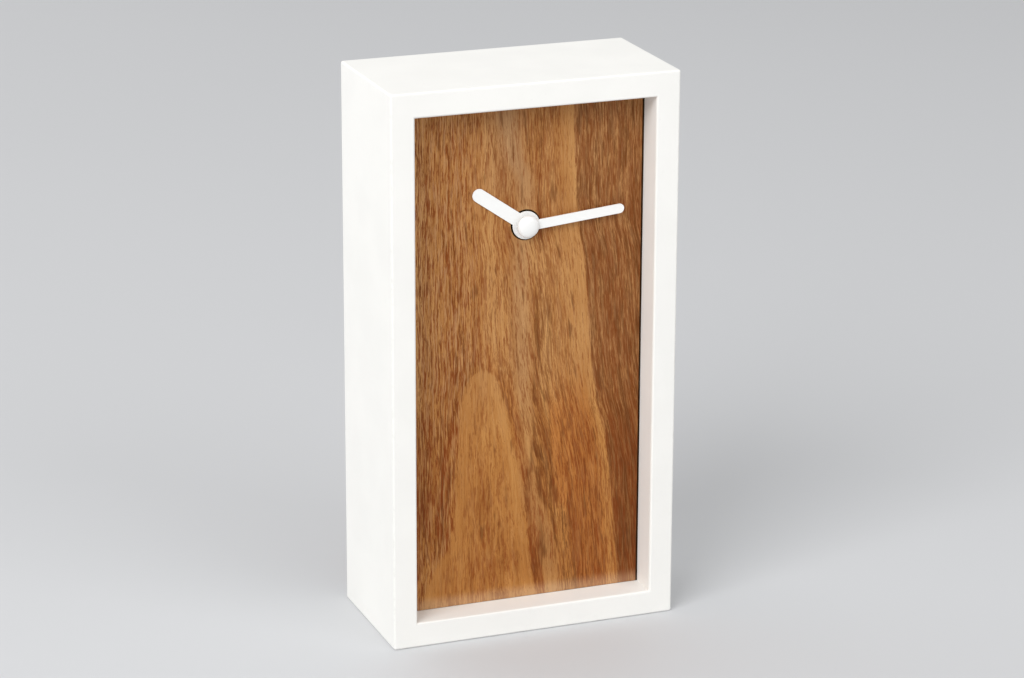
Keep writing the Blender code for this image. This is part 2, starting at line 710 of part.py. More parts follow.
def arbor(front_pivot, back_pivot, front_shoulder, back_shoulder):
    """Turned arbor with a pivot at each end."""
    profile = stepped_profile([(PIVOT_RADIUS, front_shoulder), (ARBOR_RADIUS, back_shoulder),
                               (PIVOT_RADIUS, back_pivot)], front_pivot)
    return turned("arbor", profile, SMALL_STEPS)


def place_gear(shop, gear, movement, material, place):
    return shop.place(gear, movement, material, (place[0], place[1], 0))


def make_running_train(shop, movement):
    """Rotor, intermediate, second, third and centre wheels, each turning the next."""
    pivot_front = PIVOT_DEPTH
    pivot_back = BRIDGE_BACK
    shoulder_front = -SMALL_GAP
    shoulder_back = BRIDGE_FRONT + SMALL_GAP

    rotor_front = wheel_front(INTERMEDIATE_LAYER) + PINION_OVERHANG
    rotor = prism("rotor_pinion", [gear_outline(ROTOR_PINION_TEETH, ROTOR_MODULE, 0)],
                  MAGNET_FRONT + SMALL_GAP, rotor_front)
    place_gear(shop, rotor, movement, "white_nylon", ROTOR_PLACE)
    shop.join(rotor, arbor(pivot_front, pivot_back, shoulder_front, shoulder_back))
    magnet = ring("rotor_magnet", MAGNET_RADIUS, ARBOR_RADIUS + SMALL_GAP, MAGNET_BACK,
                  MAGNET_FRONT, TURN_STEPS)
    place_gear(shop, magnet, movement, "magnet", ROTOR_PLACE)

    intermediate = wheel("intermediate_wheel", INTERMEDIATE_WHEEL_TEETH, ROTOR_MODULE,
                         INTERMEDIATE_PHASE, INTERMEDIATE_LAYER)
    place_gear(shop, intermediate, movement, "white_nylon", INTERMEDIATE_PLACE)
    shop.join(intermediate, pinion(INTERMEDIATE_PINION_TEETH, SECOND_MODULE, SECOND_LAYER,
                                   INTERMEDIATE_LAYER))
    shop.join(intermediate, arbor(pivot_front, pivot_back, shoulder_front, shoulder_back))

    second = wheel("second_wheel", SECOND_WHEEL_TEETH, SECOND_MODULE, SECOND_PHASE, SECOND_LAYER)
    place_gear(shop, second, movement, "white_nylon", CENTRE)
    shop.join(second, pinion(SECOND_PINION_TEETH, THIRD_MODULE, THIRD_LAYER, SECOND_LAYER))
    second_profile = stepped_profile([(SECOND_PIVOT_RADIUS, wheel_front(SECOND_LAYER)),
                                      (ARBOR_RADIUS, shoulder_back), (PIVOT_RADIUS, pivot_back)],
                                     wheel_front(MOTION_LAYER))
    shop.join(second, turned("arbor", second_profile, SMALL_STEPS))

    third = wheel("third_wheel", THIRD_WHEEL_TEETH, THIRD_MODULE, THIRD_PHASE, THIRD_LAYER)
    place_gear(shop, third, movement, "white_nylon", THIRD_PLACE)
    shop.join(third, pinion(THIRD_PINION_TEETH, CENTRE_MODULE, CENTRE_LAYER, THIRD_LAYER))
    shop.join(third, arbor(pivot_front, pivot_back, shoulder_front, shoulder_back))

    centre = wheel("centre_wheel", CENTRE_WHEEL_TEETH, CENTRE_MODULE, CENTRE_PHASE, CENTRE_LAYER)
    place_gear(shop, centre, movement, "white_nylon", CENTRE)
    centre_front = wheel_front(CENTRE_LAYER)
    shop.bore(centre, MINUTE_PIPE_RADIUS + SMALL_GAP, centre_front - WHEEL_THICKNESS, centre_front)


def make_motion_work(shop, movement):
    """Minute pipe, motion wheel and hour wheel, which carry the hands, and the setting pinion."""
    bore = MINUTE_BORE_RADIUS
    hub_back = wheel_front(CENTRE_LAYER) - MINUTE_HUB_LENGTH
    shoulder = MINUTE_HAND_BACK - SMALL_GAP
    tip = CAP_BACK + CAP_SOCKET_DEPTH - SMALL_GAP
    pipe_profile = [(MINUTE_SEAT_RADIUS, tip), (MINUTE_SEAT_RADIUS, shoulder),
                    (MINUTE_PIPE_RADIUS, shoulder), (MINUTE_PIPE_RADIUS, hub_back),
                    (bore, hub_back), (bore, tip)]
    pipe = turned("minute_pipe", pipe_profile, TURN_STEPS, closed=True)
    place_gear(shop, pipe, movement, "white_nylon", CENTRE)
    teeth = prism("pinion", [gear_outline(MINUTE_PINION_TEETH, MOTION_MODULE, 0),
                             circle(CENTRE, (bore + MINUTE_PIPE_RADIUS) / 2, TURN_STEPS)],
                  wheel_front(CENTRE_LAYER) + SMALL_GAP, wheel_front(MOTION_LAYER) + PINION_OVERHANG)
    shop.join(pipe, teeth)

    motion = wheel("motion_wheel", MOTION_WHEEL_TEETH, MOTION_MODULE, MOTION_PHASE, MOTION_LAYER)
    place_gear(shop, motion, movement, "white_nylon", MOTION_PLACE)
    motion_front = wheel_front(HOUR_LAYER)
    small = prism("pinion", [gear_outline(MOTION_PINION_TEETH, HOUR_MODULE, 0)],
                  wheel_front(MOTION_LAYER) - JOIN_OVERLAP, motion_front)
    shop.join(motion, small)
    shop.bore(motion, ARBOR_RADIUS + SMALL_GAP, wheel_front(MOTION_LAYER) - WHEEL_THICKNESS, motion_front)

    hour = wheel("hour_wheel", HOUR_WHEEL_TEETH, HOUR_MODULE, HOUR_PHASE, HOUR_LAYER)
    place_gear(shop, hour, movement, "white_nylon", CENTRE)
    hour_front = wheel_front(HOUR_LAYER)
    pipe_front = HOUR_HAND_FRONT + HOUR_PIPE_PROUD
    shop.join(hour, turned("pipe", stepped_profile([(HOUR_PIPE_RADIUS, hour_front - JOIN_OVERLAP)],
                                                   pipe_front), TURN_STEPS))
    shop.bore(hour, MINUTE_PIPE_RADIUS + SMALL_GAP, hour_front - WHEEL_THICKNESS, pipe_front)

    setting_front = wheel_front(MOTION_LAYER) + PINION_OVERHANG
    setting_back = wheel_front(MOTION_LAYER) - WHEEL_THICKNESS - PINION_OVERHANG
    setting = prism("setting_pinion", [gear_outline(SETTING_PINION_TEETH, MOTION_MODULE, SETTING_PHASE)],
                    setting_back, setting_front)
    place_gear(shop, setting, movement, "white_nylon", SETTING_PLACE)
    shaft_back = COVER_BACK - FIT_GAP - KNOB_SOCKET_DEPTH + SMALL_GAP
    shaft_profile = stepped_profile([(PIVOT_RADIUS, -SMALL_GAP), (ARBOR_RADIUS, setting_front),
                                     (SETTING_SHAFT_RADIUS, shaft_back)], PIVOT_DEPTH)
    shop.join(setting, turned("shaft", shaft_profile, SMALL_STEPS))


def knob_outline():
    """Ribbed grip outline of the setting knob."""
    points = []
    for rib in range(KNOB_RIBS):
        for quarter, radius in enumerate((KNOB_RADIUS, KNOB_RADIUS, KNOB_RADIUS - KNOB_RIB_DEPTH,
                                          KNOB_RADIUS - KNOB_RIB_DEPTH)):
            points.append(polar(CENTRE, radius, 360 * (rib + quarter / 4) / KNOB_RIBS))
    return points


def make_knob(shop, movement):
    """Setting knob on the back of the movement, pressed on the setting pinion's shaft."""
    front = COVER_BACK - FIT_GAP
    back = front - KNOB_HEIGHT
    knob = prism("setting_knob", [knob_outline()], back, front)
    place_gear(shop, knob, movement, "black_plastic", SETTING_PLACE)
    socket_radius = SETTING_SHAFT_RADIUS + SMALL_GAP
    socket = turned("socket", stepped_profile([(socket_radius, front - KNOB_SOCKET_DEPTH)],
                                              front + CUT_OVERRUN), TURN_STEPS)
    shop.cut(knob, socket)
    dish_radius = KNOB_RADIUS * KNOB_DISH_SHARE
    rim_radius = dish_radius + KNOB_DISH_DEPTH
    dish_profile = [(0, back + KNOB_DISH_DEPTH), (dish_radius, back + KNOB_DISH_DEPTH),
                    (rim_radius, back), (rim_radius, back - CUT_OVERRUN), (0, back - CUT_OVERRUN)]
    shop.cut(knob, turned("dish", dish_profile, TURN_STEPS))


# Stepping motor

def make_motor(shop, movement):
    """Stator plate round the rotor magnet, and the coil on its core."""
    half_span = STATOR_SPAN / 2
    half_arm = STATOR_ARM_WIDTH / 2
    coil_rise = COIL_HEIGHT - ROTOR_PLACE[1]
    inner = half_span - half_arm
    outer = half_span + half_arm
    top = coil_rise + half_arm
    outline = [(-outer, -STATOR_HALF_BAR), (outer, -STATOR_HALF_BAR), (outer, top), (inner, top),
               (inner, STATOR_HALF_BAR), (-inner, STATOR_HALF_BAR), (-inner, top), (-outer, top)]
    pin_hole = POST_PIN_RADIUS + SMALL_GAP
    holes = [circle(CENTRE, STATOR_HOLE_RADIUS, TURN_STEPS)]
    holes += [circle((side * half_span, coil_rise), pin_hole, SMALL_STEPS) for side in (-1, 1)]
    stator = prism("stator_plate", [outline] + holes, STATOR_BACK, STATOR_FRONT)
    place_gear(shop, stator, movement, "steel", ROTOR_PLACE)

    coil_place = (ROTOR_PLACE[0], COIL_HEIGHT)
    core_outline = rectangle(-outer, -CORE_WIDTH / 2, outer, CORE_WIDTH / 2)
    core_holes = [circle((side * half_span, 0), pin_hole, SMALL_STEPS) for side in (-1, 1)]
    core = prism("coil_core", [core_outline] + core_holes, CORE_BACK, CORE_FRONT)
    place_gear(shop, core, movement, "steel", coil_place)

    reach = inner - FIT_GAP
    inside = reach - COIL_FLANGE_THICKNESS
    profile = [(COIL_FLANGE_RADIUS, reach), (COIL_FLANGE_RADIUS, inside), (COIL_TUBE_RADIUS, inside),
               (COIL_TUBE_RADIUS, -inside), (COIL_FLANGE_RADIUS, -inside), (COIL_FLANGE_RADIUS, -reach)]
    bobbin = turned("coil_bobbin", [(0, reach)] + profile + [(0, -reach)], TURN_STEPS)
    shop.place(bobbin, movement, "black_plastic", (coil_place[0], coil_place[1], COIL_LEVEL))
    bobbin.rotation_euler = (0, math.pi / 2, 0)
    half_core = CORE_WIDTH / 2 + SMALL_GAP
    half_slot = STATOR_THICKNESS / 2 + SMALL_GAP
    slot = prism("slot", [rectangle(-half_slot, -half_core, half_slot, half_core)],
                 -reach - CUT_OVERRUN, reach + CUT_OVERRUN)
    shop.cut(bobbin, slot)

    winding_reach = inside - SMALL_GAP
    winding = ring("coil_winding", COIL_WINDING_RADIUS, COIL_TUBE_RADIUS + SMALL_GAP,
                   -winding_reach, winding_reach, TURN_STEPS)
    shop.place(winding, movement, "copper", (coil_place[0], coil_place[1], COIL_LEVEL))
    winding.rotation_euler = (0, math.pi / 2, 0)


# Housing

def tongue(inner_face):
    """Section of a snap tongue and its hook, rising from the plate's edge into the cover."""
    outer_face = inner_face + TONGUE_THICKNESS
    hook = outer_face + MOVEMENT_WALL / 2
    base = JOIN_OVERLAP
    return [(inner_face, base), (outer_face, base), (outer_face, -TONGUE_HEIGHT + TONGUE_HOOK_HEIGHT),
            (hook, -TONGUE_HEIGHT + TONGUE_HOOK_HEIGHT), (outer_face, -TONGUE_HEIGHT),
            (inner_face, -TONGUE_HEIGHT)]


def tongue_places():
    """Direction in degrees, offset along the edge and inner wall of each snap tongue."""
    return ((180, -TONGUE_SIDE_HEIGHT, INNER_SIDE), (0, TONGUE_SIDE_HEIGHT, INNER_SIDE),
            (90, -TONGUE_TOP_OFFSET, INNER_TOP))


def housing_outline():
    return rounded_rectangle(-OUTER_SIDE, -OUTER_TOP, OUTER_SIDE, OUTER_TOP, MOVEMENT_CORNER_RADIUS)


def edge_prism(name, outline, offset, degrees, width):
    """Prism of a section drawn outwards and in depth, at an offset along one edge of the plate."""
    block = prism(name, [outline], -width / 2, width / 2)
    stand = Matrix(((1, 0, 0), (0, 0, -1), (0, 1, 0))).to_4x4()
    shift = Matrix.Translation((0, offset, 0))
    spin = Matrix.Rotation(math.radians(degrees), 4, "Z")
    block.data.transform(spin @ shift @ stand)
    return block


def make_front_plate(shop, movement):
    """Front half of the housing: bushing, bearings, posts and snap tongues in one moulding."""
    plate = prism("movement_front_plate", [housing_outline()], 0, PLATE_FRONT)
    shop.place(plate, movement, "black_plastic")
    bushing_profile = stepped_profile([(BUSHING_RADIUS, PLATE_FRONT - JOIN_OVERLAP)], BUSHING_FRONT)
    shop.join(plate, turned("bushing", bushing_profile, TURN_STEPS))
    shop.bore(plate, HOUR_PIPE_RADIUS + SMALL_GAP, 0, BUSHING_FRONT)

    bearing_radius = PIVOT_RADIUS + SMALL_GAP
    bearing_depth = PIVOT_DEPTH + SMALL_GAP
    bearing_profile = stepped_profile([(bearing_radius, -CUT_OVERRUN)], bearing_depth)
    for number, place in enumerate((ROTOR_PLACE, INTERMEDIATE_PLACE, THIRD_PLACE, SETTING_PLACE)):
        shop.cut(plate, turned(f"bearing_{number}", bearing_profile, SMALL_STEPS), (*place, 0))

    base = JOIN_OVERLAP
    bridge_shoulder = BRIDGE_FRONT + SMALL_GAP
    core_shoulder = CORE_FRONT + SMALL_GAP
    board_shoulder = -BOARD_LEVEL + SMALL_GAP
    board_tip = -BOARD_LEVEL - BOARD_THICKNESS
    motion_tip = wheel_front(MOTION_LAYER) - WHEEL_THICKNESS - SMALL_GAP
    stator_stages = [(POST_RADIUS, core_shoulder), (POST_PIN_RADIUS, bridge_shoulder),
                     (POST_TIP_RADIUS, BRIDGE_BACK)]
    bridge_stages = [(POST_RADIUS, bridge_shoulder), (POST_TIP_RADIUS, BRIDGE_BACK)]
    board_stages = [(POST_RADIUS, board_shoulder), (POST_TIP_RADIUS, board_tip)]
    posts = [(place, stator_stages) for place in STATOR_POSTS]
    posts.append((BRIDGE_POST, bridge_stages))
    posts += [(place, board_stages) for place in board_post_places()]
    posts.append((MOTION_PLACE, [(ARBOR_RADIUS, motion_tip)]))
    for number, (place, stages) in enumerate(posts):
        profile = stepped_profile(stages, base)
        shop.join(plate, turned(f"post_{number}", profile, SMALL_STEPS), (*place, 0))

    for number, (degrees, offset, wall) in enumerate(tongue_places()):
        section = tongue(wall - SMALL_GAP - TONGUE_THICKNESS)
        shop.join(plate, edge_prism(f"tongue_{number}", section, offset, degrees, TONGUE_WIDTH))


def make_rear_cover(shop, movement):
    """Deep rear half of the housing with the battery bay, contact slots and snap windows."""
    front = -SMALL_GAP
    cover = prism("movement_rear_cover", [housing_outline()], COVER_BACK, front)
    ease_rim(cover, COVER_BACK, MOVEMENT_EDGE_RADIUS)
    shop.place(cover, movement, "black_plastic")
    train = prism("train_space", [rectangle(-INNER_SIDE, TRAIN_FLOOR, INNER_SIDE, INNER_TOP)],
                  COVER_INNER, front + CUT_OVERRUN)
    shop.cut(cover, train)
    bay = prism("battery_bay", [rectangle(-INNER_SIDE, -INNER_TOP, INNER_SIDE, BAY_TOP)],
                COVER_BACK - CUT_OVERRUN, BAY_FLOOR)
    shop.cut(cover, bay)
    hole_radius = SETTING_SHAFT_RADIUS + SMALL_GAP
    hole = turned("knob_hole", stepped_profile([(hole_radius, COVER_BACK - CUT_OVERRUN)],
                                               COVER_INNER + CUT_OVERRUN), TURN_STEPS)
    shop.cut(cover, hole, (*SETTING_PLACE, 0))

    half_notch = FINGER_NOTCH_WIDTH / 2
    notch = prism("finger_notch", [rectangle(-half_notch, -OUTER_TOP - CUT_OVERRUN, half_notch,
                                             -INNER_TOP + CUT_OVERRUN)],
                  COVER_BACK - CUT_OVERRUN, COVER_BACK + FINGER_NOTCH_DEPTH)
    shop.cut(cover, notch)

    slot_outer = INNER_SIDE - SMALL_GAP
    slot_inner = INNER_SIDE - CONTACT_WALL_GAP - CONTACT_THICKNESS - SMALL_GAP
    slot_reach = CONTACT_WIDTH / 2 + SMALL_GAP
    for side, name in ((-1, "left_slot"), (1, "right_slot")):
        near, far = sorted((side * slot_inner, side * slot_outer))
        slot = prism(name, [rectangle(near, BAY_TOP - CUT_OVERRUN / 2, far, TRAIN_FLOOR + CUT_OVERRUN / 2)],
                     CONTACT_LEVEL - slot_reach, CONTACT_LEVEL + slot_reach)
        shop.cut(cover, slot)

    hook_top = -TONGUE_HEIGHT + TONGUE_HOOK_HEIGHT
    for number, (degrees, offset, wall) in enumerate(tongue_places()):
        window = rectangle(wall - CUT_OVERRUN / 2, -TONGUE_HEIGHT - SMALL_GAP,
                           wall + MOVEMENT_WALL + CUT_OVERRUN, hook_top + SMALL_GAP)
        width = TONGUE_WIDTH + 2 * SMALL_GAP
        shop.cut(cover, edge_prism(f"window_{number}", window, offset, degrees, width))


def make_bridge(shop, movement):
    """Plate that carries the rear pivots of the train."""
    pivots = (CENTRE, THIRD_PLACE, INTERMEDIATE_PLACE, ROTOR_PLACE)
    posts = (*STATOR_POSTS, BRIDGE_POST)
    margin_points = []
    for place in pivots + posts:
        margin_points += circle(place, BRIDGE_MARGIN, SMALL_STEPS)
    holes = [circle(place, PIVOT_RADIUS + SMALL_GAP, SMALL_STEPS) for place in pivots]
    holes += [circle(place, POST_TIP_RADIUS + SMALL_GAP, SMALL_STEPS) for place in posts]
    bridge = prism("train_bridge", [hull(margin_points)] + holes, BRIDGE_BACK, BRIDGE_FRONT)
    shop.place(bridge, movement, "white_nylon")


def board_post_places():
    """Two posts near the circuit board's right-hand corners."""
    across = BOARD_RIGHT - BOARD_POST_INSET
    return ((across, BOARD_BOTTOM + BOARD_POST_INSET), (across, BOARD_TOP - BOARD_POST_INSET))


def make_electronics(shop, movement):
    """Circuit board with its chip and crystal."""
    board_front = -BOARD_LEVEL
    board_back = board_front - BOARD_THICKNESS
    holes = [circle(place, POST_TIP_RADIUS + SMALL_GAP, SMALL_STEPS) for place in board_post_places()]
    outline = rectangle(BOARD_LEFT, BOARD_BOTTOM, BOARD_RIGHT, BOARD_TOP)
    board = prism("circuit_board", [outline] + holes, board_back, board_front)
    shop.place(board, movement, "circuit_board")

    surface = board_back - SMALL_GAP
    chip_place = (BOARD_LEFT + CHIP_RADIUS + FIT_GAP, (BOARD_BOTTOM + BOARD_TOP) / 2, surface)
    dome = arc(CENTRE, CHIP_RADIUS, 0, -90, CORNER_STEPS)
    flatter = CHIP_HEIGHT / CHIP_RADIUS
    profile = [(0, 0)] + [(radius, height * flatter) for radius, height in dome]
    chip = turned("timing_chip", profile, TURN_STEPS)
    shop.place(chip, movement, "epoxy", chip_place)

    half = CRYSTAL_LENGTH / 2
    edge = CRYSTAL_EDGE_RADIUS
    profile = [(0, half)] + arc((CRYSTAL_RADIUS - edge, half - edge), edge, 90, 0, EDGE_SEGMENTS)
    profile += [(CRYSTAL_RADIUS, -half), (0, -half)]
    crystal = turned("quartz_crystal", profile, SMALL_STEPS)
    crystal_place = ((BOARD_LEFT + BOARD_RIGHT) / 2, BOARD_TOP - CRYSTAL_RADIUS - FIT_GAP,
                     surface - CRYSTAL_RADIUS)
    shop.place(crystal, movement, "steel", crystal_place)
    crystal.rotation_euler = (0, math.pi / 2, 0)


def make_fixings(shop, movement):
    """Gasket, washer and slotted ring nut on the bushing."""
    bore = BUSHING_RADIUS + SMALL_GAP
    gasket_front = GASKET_BACK + GASKET_THICKNESS
    gasket = ring("rubber_gasket", GASKET_RADIUS, bore, GASKET_BACK, gasket_front, TURN_STEPS)
    shop.place(gasket, movement, "rubber")
    washer_front = WASHER_BACK + WASHER_THICKNESS
    washer = ring("mounting_washer", NUT_RADIUS, bore, WASHER_BACK, washer_front, TURN_STEPS)
    shop.place(washer, movement, "steel")
    nut = ring("mounting_nut", NUT_RADIUS, bore, NUT_BACK, NUT_BACK + NUT_THICKNESS, TURN_STEPS)
    shop.place(nut, movement, "brass")
    half_slot = NUT_SLOT_WIDTH / 2
    for side, name in ((-1, "slot_left"), (1, "slot_right")):
        near, far = sorted((side * (NUT_RADIUS - NUT_SLOT_DEPTH), side * (NUT_RADIUS + CUT_OVERRUN)))
        slot = prism(name, [rectangle(near, -half_slot, far, half_slot)],
                     NUT_BACK - CUT_OVERRUN, NUT_BACK + NUT_THICKNESS + CUT_OVERRUN)
        shop.cut(nut, slot)


# Battery and its contacts

def battery_ends():
    """Left and right ends of the battery, the positive nub at the right."""
    right = INNER_SIDE - CONTACT_WALL_GAP - CONTACT_THICKNESS - SMALL_GAP
    return right - BATTERY_LENGTH, right


def make_battery(shop, movement):
    """Single round cell, its shell and nub in one turned piece."""
    left, right = battery_ends()
    shoulder = right - BATTERY_NUB_LENGTH
    edge = BATTERY_EDGE_RADIUS
    top = arc((BATTERY_RADIUS - edge, shoulder - edge), edge, 90, 0, EDGE_SEGMENTS)
    foot = left + BATTERY_FOOT_HEIGHT
    bottom = arc((BATTERY_RADIUS - edge, foot + edge), edge, 0, -90, EDGE_SEGMENTS)
    profile = [(0, right), (BATTERY_NUB_RADIUS, right), (BATTERY_NUB_RADIUS, shoulder)] + top + bottom
    profile += [(BATTERY_FOOT_RADIUS, foot), (BATTERY_FOOT_RADIUS, left), (0, left)]
    battery = turned("battery", profile, FINE_STEPS)
    shop.place(battery, movement, "battery_sleeve", (0, BATTERY_HEIGHT, BATTERY_LEVEL))
    battery.rotation_euler = (0, math.pi / 2, 0)


def make_contacts(shop, movement):
    """Flat positive contact, and negative contact with its leaf spring and long tail."""
    left, right = battery_ends()
    back = CONTACT_LEVEL - CONTACT_WIDTH / 2
    front = CONTACT_LEVEL + CONTACT_WIDTH / 2
    lowest = BATTERY_HEIGHT - BATTERY_RADIUS * CONTACT_FOOT_SHARE
    plate_x = INNER_SIDE - CONTACT_WALL_GAP - CONTACT_THICKNESS / 2
    positive_path = [(plate_x, lowest), (plate_x, BOARD_BOTTOM + BOARD_POST_INSET)]
    positive = prism("positive_contact", [strip_outline(positive_path, CONTACT_THICKNESS)], back, front)
    shop.place(positive, movement, "brass")

    touch = left - SMALL_GAP - CONTACT_THICKNESS / 2
    fold = -plate_x + CONTACT_THICKNESS + CONTACT_LEAF_GAP
    tail = TRAIN_FLOOR + SMALL_GAP + CONTACT_THICKNESS / 2
    tail_end = BOARD_LEFT + BOARD_POST_INSET
    tip_height = BATTERY_HEIGHT + BATTERY_RADIUS * CONTACT_TIP_SHARE
    path = [(touch - CONTACT_LEAF_LEAN, tip_height), (touch, BATTERY_HEIGHT), (fold, lowest),
            (-plate_x, lowest), (-plate_x, tail), (tail_end, tail)]
    negative = prism("negative_contact", [strip_outline(path, CONTACT_THICKNESS)], back, front)
    shop.place(negative, movement, "brass")


def main():
    clear_scene()
    shop = Workshop()
    front = shop.empty("front_view", None, (0, 0, 0), math.pi / 2)
    movement = shop.empty("movement_axis", front, (0, HUB_HEIGHT, -PLATE_Y))
    make_case(shop)
    make_dial(shop, front)
    make_hands(shop, movement)
    make_front_plate(shop, movement)
    make_rear_cover(shop, movement)
    make_bridge(shop, movement)
    make_fixings(shop, movement)
    make_running_train(shop, movement)
    make_motion_work(shop, movement)
    make_knob(shop, movement)
    make_motor(shop, movement)
    make_electronics(shop, movement)
    make_battery(shop, movement)
    make_contacts(shop, movement)


main()
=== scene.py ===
import math

import bmesh
import bpy
from bpy.props import FloatProperty, FloatVectorProperty, IntProperty, PointerProperty
from mathutils import Matrix, Quaternion, Vector


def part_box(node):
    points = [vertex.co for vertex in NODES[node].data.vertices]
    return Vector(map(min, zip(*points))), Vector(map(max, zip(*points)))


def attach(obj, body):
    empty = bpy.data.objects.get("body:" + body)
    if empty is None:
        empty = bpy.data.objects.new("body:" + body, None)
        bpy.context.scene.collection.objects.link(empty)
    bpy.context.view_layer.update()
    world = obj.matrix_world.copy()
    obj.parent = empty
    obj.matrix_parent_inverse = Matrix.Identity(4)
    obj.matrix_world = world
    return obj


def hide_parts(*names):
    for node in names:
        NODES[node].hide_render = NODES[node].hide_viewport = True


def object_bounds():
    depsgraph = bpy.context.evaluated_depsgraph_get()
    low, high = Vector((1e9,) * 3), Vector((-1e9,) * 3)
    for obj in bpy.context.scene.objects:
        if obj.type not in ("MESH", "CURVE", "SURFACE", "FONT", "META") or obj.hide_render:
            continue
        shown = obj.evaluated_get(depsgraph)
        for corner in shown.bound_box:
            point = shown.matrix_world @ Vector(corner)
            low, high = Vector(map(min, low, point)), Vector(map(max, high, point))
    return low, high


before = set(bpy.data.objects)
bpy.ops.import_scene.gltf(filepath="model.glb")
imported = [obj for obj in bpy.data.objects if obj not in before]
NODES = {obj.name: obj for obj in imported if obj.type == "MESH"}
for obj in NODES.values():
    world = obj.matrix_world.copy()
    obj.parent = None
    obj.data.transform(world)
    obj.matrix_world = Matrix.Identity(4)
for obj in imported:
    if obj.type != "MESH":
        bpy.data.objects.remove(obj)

bl_info = {
    "name": "Wooden desk clock",
    "version": (1, 0, 0),
    "blender": (4, 5, 0),
    "location": "3D View > Sidebar > Desk clock",
    "description": "Builds the painted case, the walnut dial, the hands and the movement of a desk clock",
    "category": "Object",
}

CAD_BOX = [list(corner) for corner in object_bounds()]
MILLIMETRE = 0.001
MICROMETRE = 0.000001
MERGE_DISTANCE = 2 * MICROMETRE
SHARP_ANGLE = math.radians(35)
RIM_ANGLE = math.radians(50)
FLAT_ANGLE = math.radians(0.5)
TONGUE_CLEARANCE = 0.3 * MILLIMETRE
TONGUE_ROOM = 2.5 * MILLIMETRE
CAP_STEPS = 64
WIRE_PITCH = 0.12 * MILLIMETRE
FLOOR_RADIUS = 9.0
LAMP_TARGET = (0, 0, 0.1)
LAMPS = (("key", (-1.5, -1.2, 1.6), 1.4), ("fill", (0.9, -1.7, 1.3), 1.2), ("top", (0.1, 0.2, 1.9), 1.3),
         ("back", (-1.2, 1.7, 0.7), 1.3))
CAMERA_PLACE = (-0.417080, -1.091535, 0.478493)
CAMERA_TARGET = (0.001097, 0.0, 0.100711)
CAMERA_ROLL = math.radians(0.2159)


# Colours and sizes read from the solids

def linear(red, green, blue):
    """Screen colour from 0 to 255 as the linear colour that shaders take."""
    def one(value):
        share = value / 255
        return share / 12.92 if share <= 0.04045 else ((share + 0.055) / 1.055) ** 2.4
    return one(red), one(green), one(blue)


def shaded(colour, share):
    """Colour made darker or lighter by a share."""
    return tuple(value * share for value in colour)


def middle(name):
    """Centre of a node's box."""
    low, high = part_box(name)
    return (low + high) / 2


# Settings

class CaseSettings(bpy.types.PropertyGroup):
    paint: FloatVectorProperty(name="Paint", description="White of the lacquered boards", subtype="COLOR",
                               size=3, min=0, max=1, default=linear(244, 243, 239))
    # Unpainted wood inside the dial groove, kept dark as painted shade for the gap round the dial
    bare_board_and_gap_shade: FloatVectorProperty(name="Bare board", description="Unpainted wood inside the dial groove",
                                    subtype="COLOR", size=3, min=0, max=1, default=linear(120, 92, 62))
    edge_radius: FloatProperty(name="Edge radius", description="Easing of the case's outer edges",
                               subtype="DISTANCE", unit="LENGTH", default=0.0008, min=0.0001, max=0.002)


class DialSettings(bpy.types.PropertyGroup):
    deep: FloatVectorProperty(name="Deep brown", description="Darkest late wood", subtype="COLOR",
                              size=3, min=0, max=1, default=linear(98, 53, 18))
    brown: FloatVectorProperty(name="Brown", description="Dark bands of the walnut", subtype="COLOR",
                               size=3, min=0, max=1, default=linear(141, 84, 32))
    base: FloatVectorProperty(name="Walnut", description="Main colour of the walnut", subtype="COLOR",
                              size=3, min=0, max=1, default=linear(172, 113, 54))
    tan: FloatVectorProperty(name="Tan", description="Light bands of the walnut", subtype="COLOR",
                             size=3, min=0, max=1, default=linear(195, 139, 76))
    fleck: FloatVectorProperty(name="Fleck", description="Short dark pores in the grain", subtype="COLOR",
                               size=3, min=0, max=1, default=linear(126, 57, 8))
    edge_radius: FloatProperty(name="Edge radius", description="Easing of the board's face edges",
                               subtype="DISTANCE", unit="LENGTH", default=0.0002, min=0.00005, max=0.0006)


class HandSettings(bpy.types.PropertyGroup):
    enamel: FloatVectorProperty(name="Enamel", description="White of the hands and cap", subtype="COLOR",
                                size=3, min=0, max=1, default=linear(246, 246, 244))
    edge_radius: FloatProperty(name="Edge radius", description="Softening of the stamped edges",
                               subtype="DISTANCE", unit="LENGTH", default=0.0001, min=0.00002, max=0.0002)


class MovementSettings(bpy.types.PropertyGroup):
    plastic: FloatVectorProperty(name="Housing", description="Black of the moulded housing",
                                 subtype="COLOR", size=3, min=0, max=1, default=linear(34, 34, 36))
    sleeve: FloatVectorProperty(name="Battery sleeve", description="Film round the battery",
                                subtype="COLOR", size=3, min=0, max=1, default=linear(84, 98, 108))
    edge_radius: FloatProperty(name="Edge radius", description="Rounding of the moulded edges",
                               subtype="DISTANCE", unit="LENGTH", default=0.0002, min=0.00005, max=0.0005)
    round_steps: IntProperty(name="Round steps", description="Steps round the turned pieces",
                             default=72, min=24, max=128)


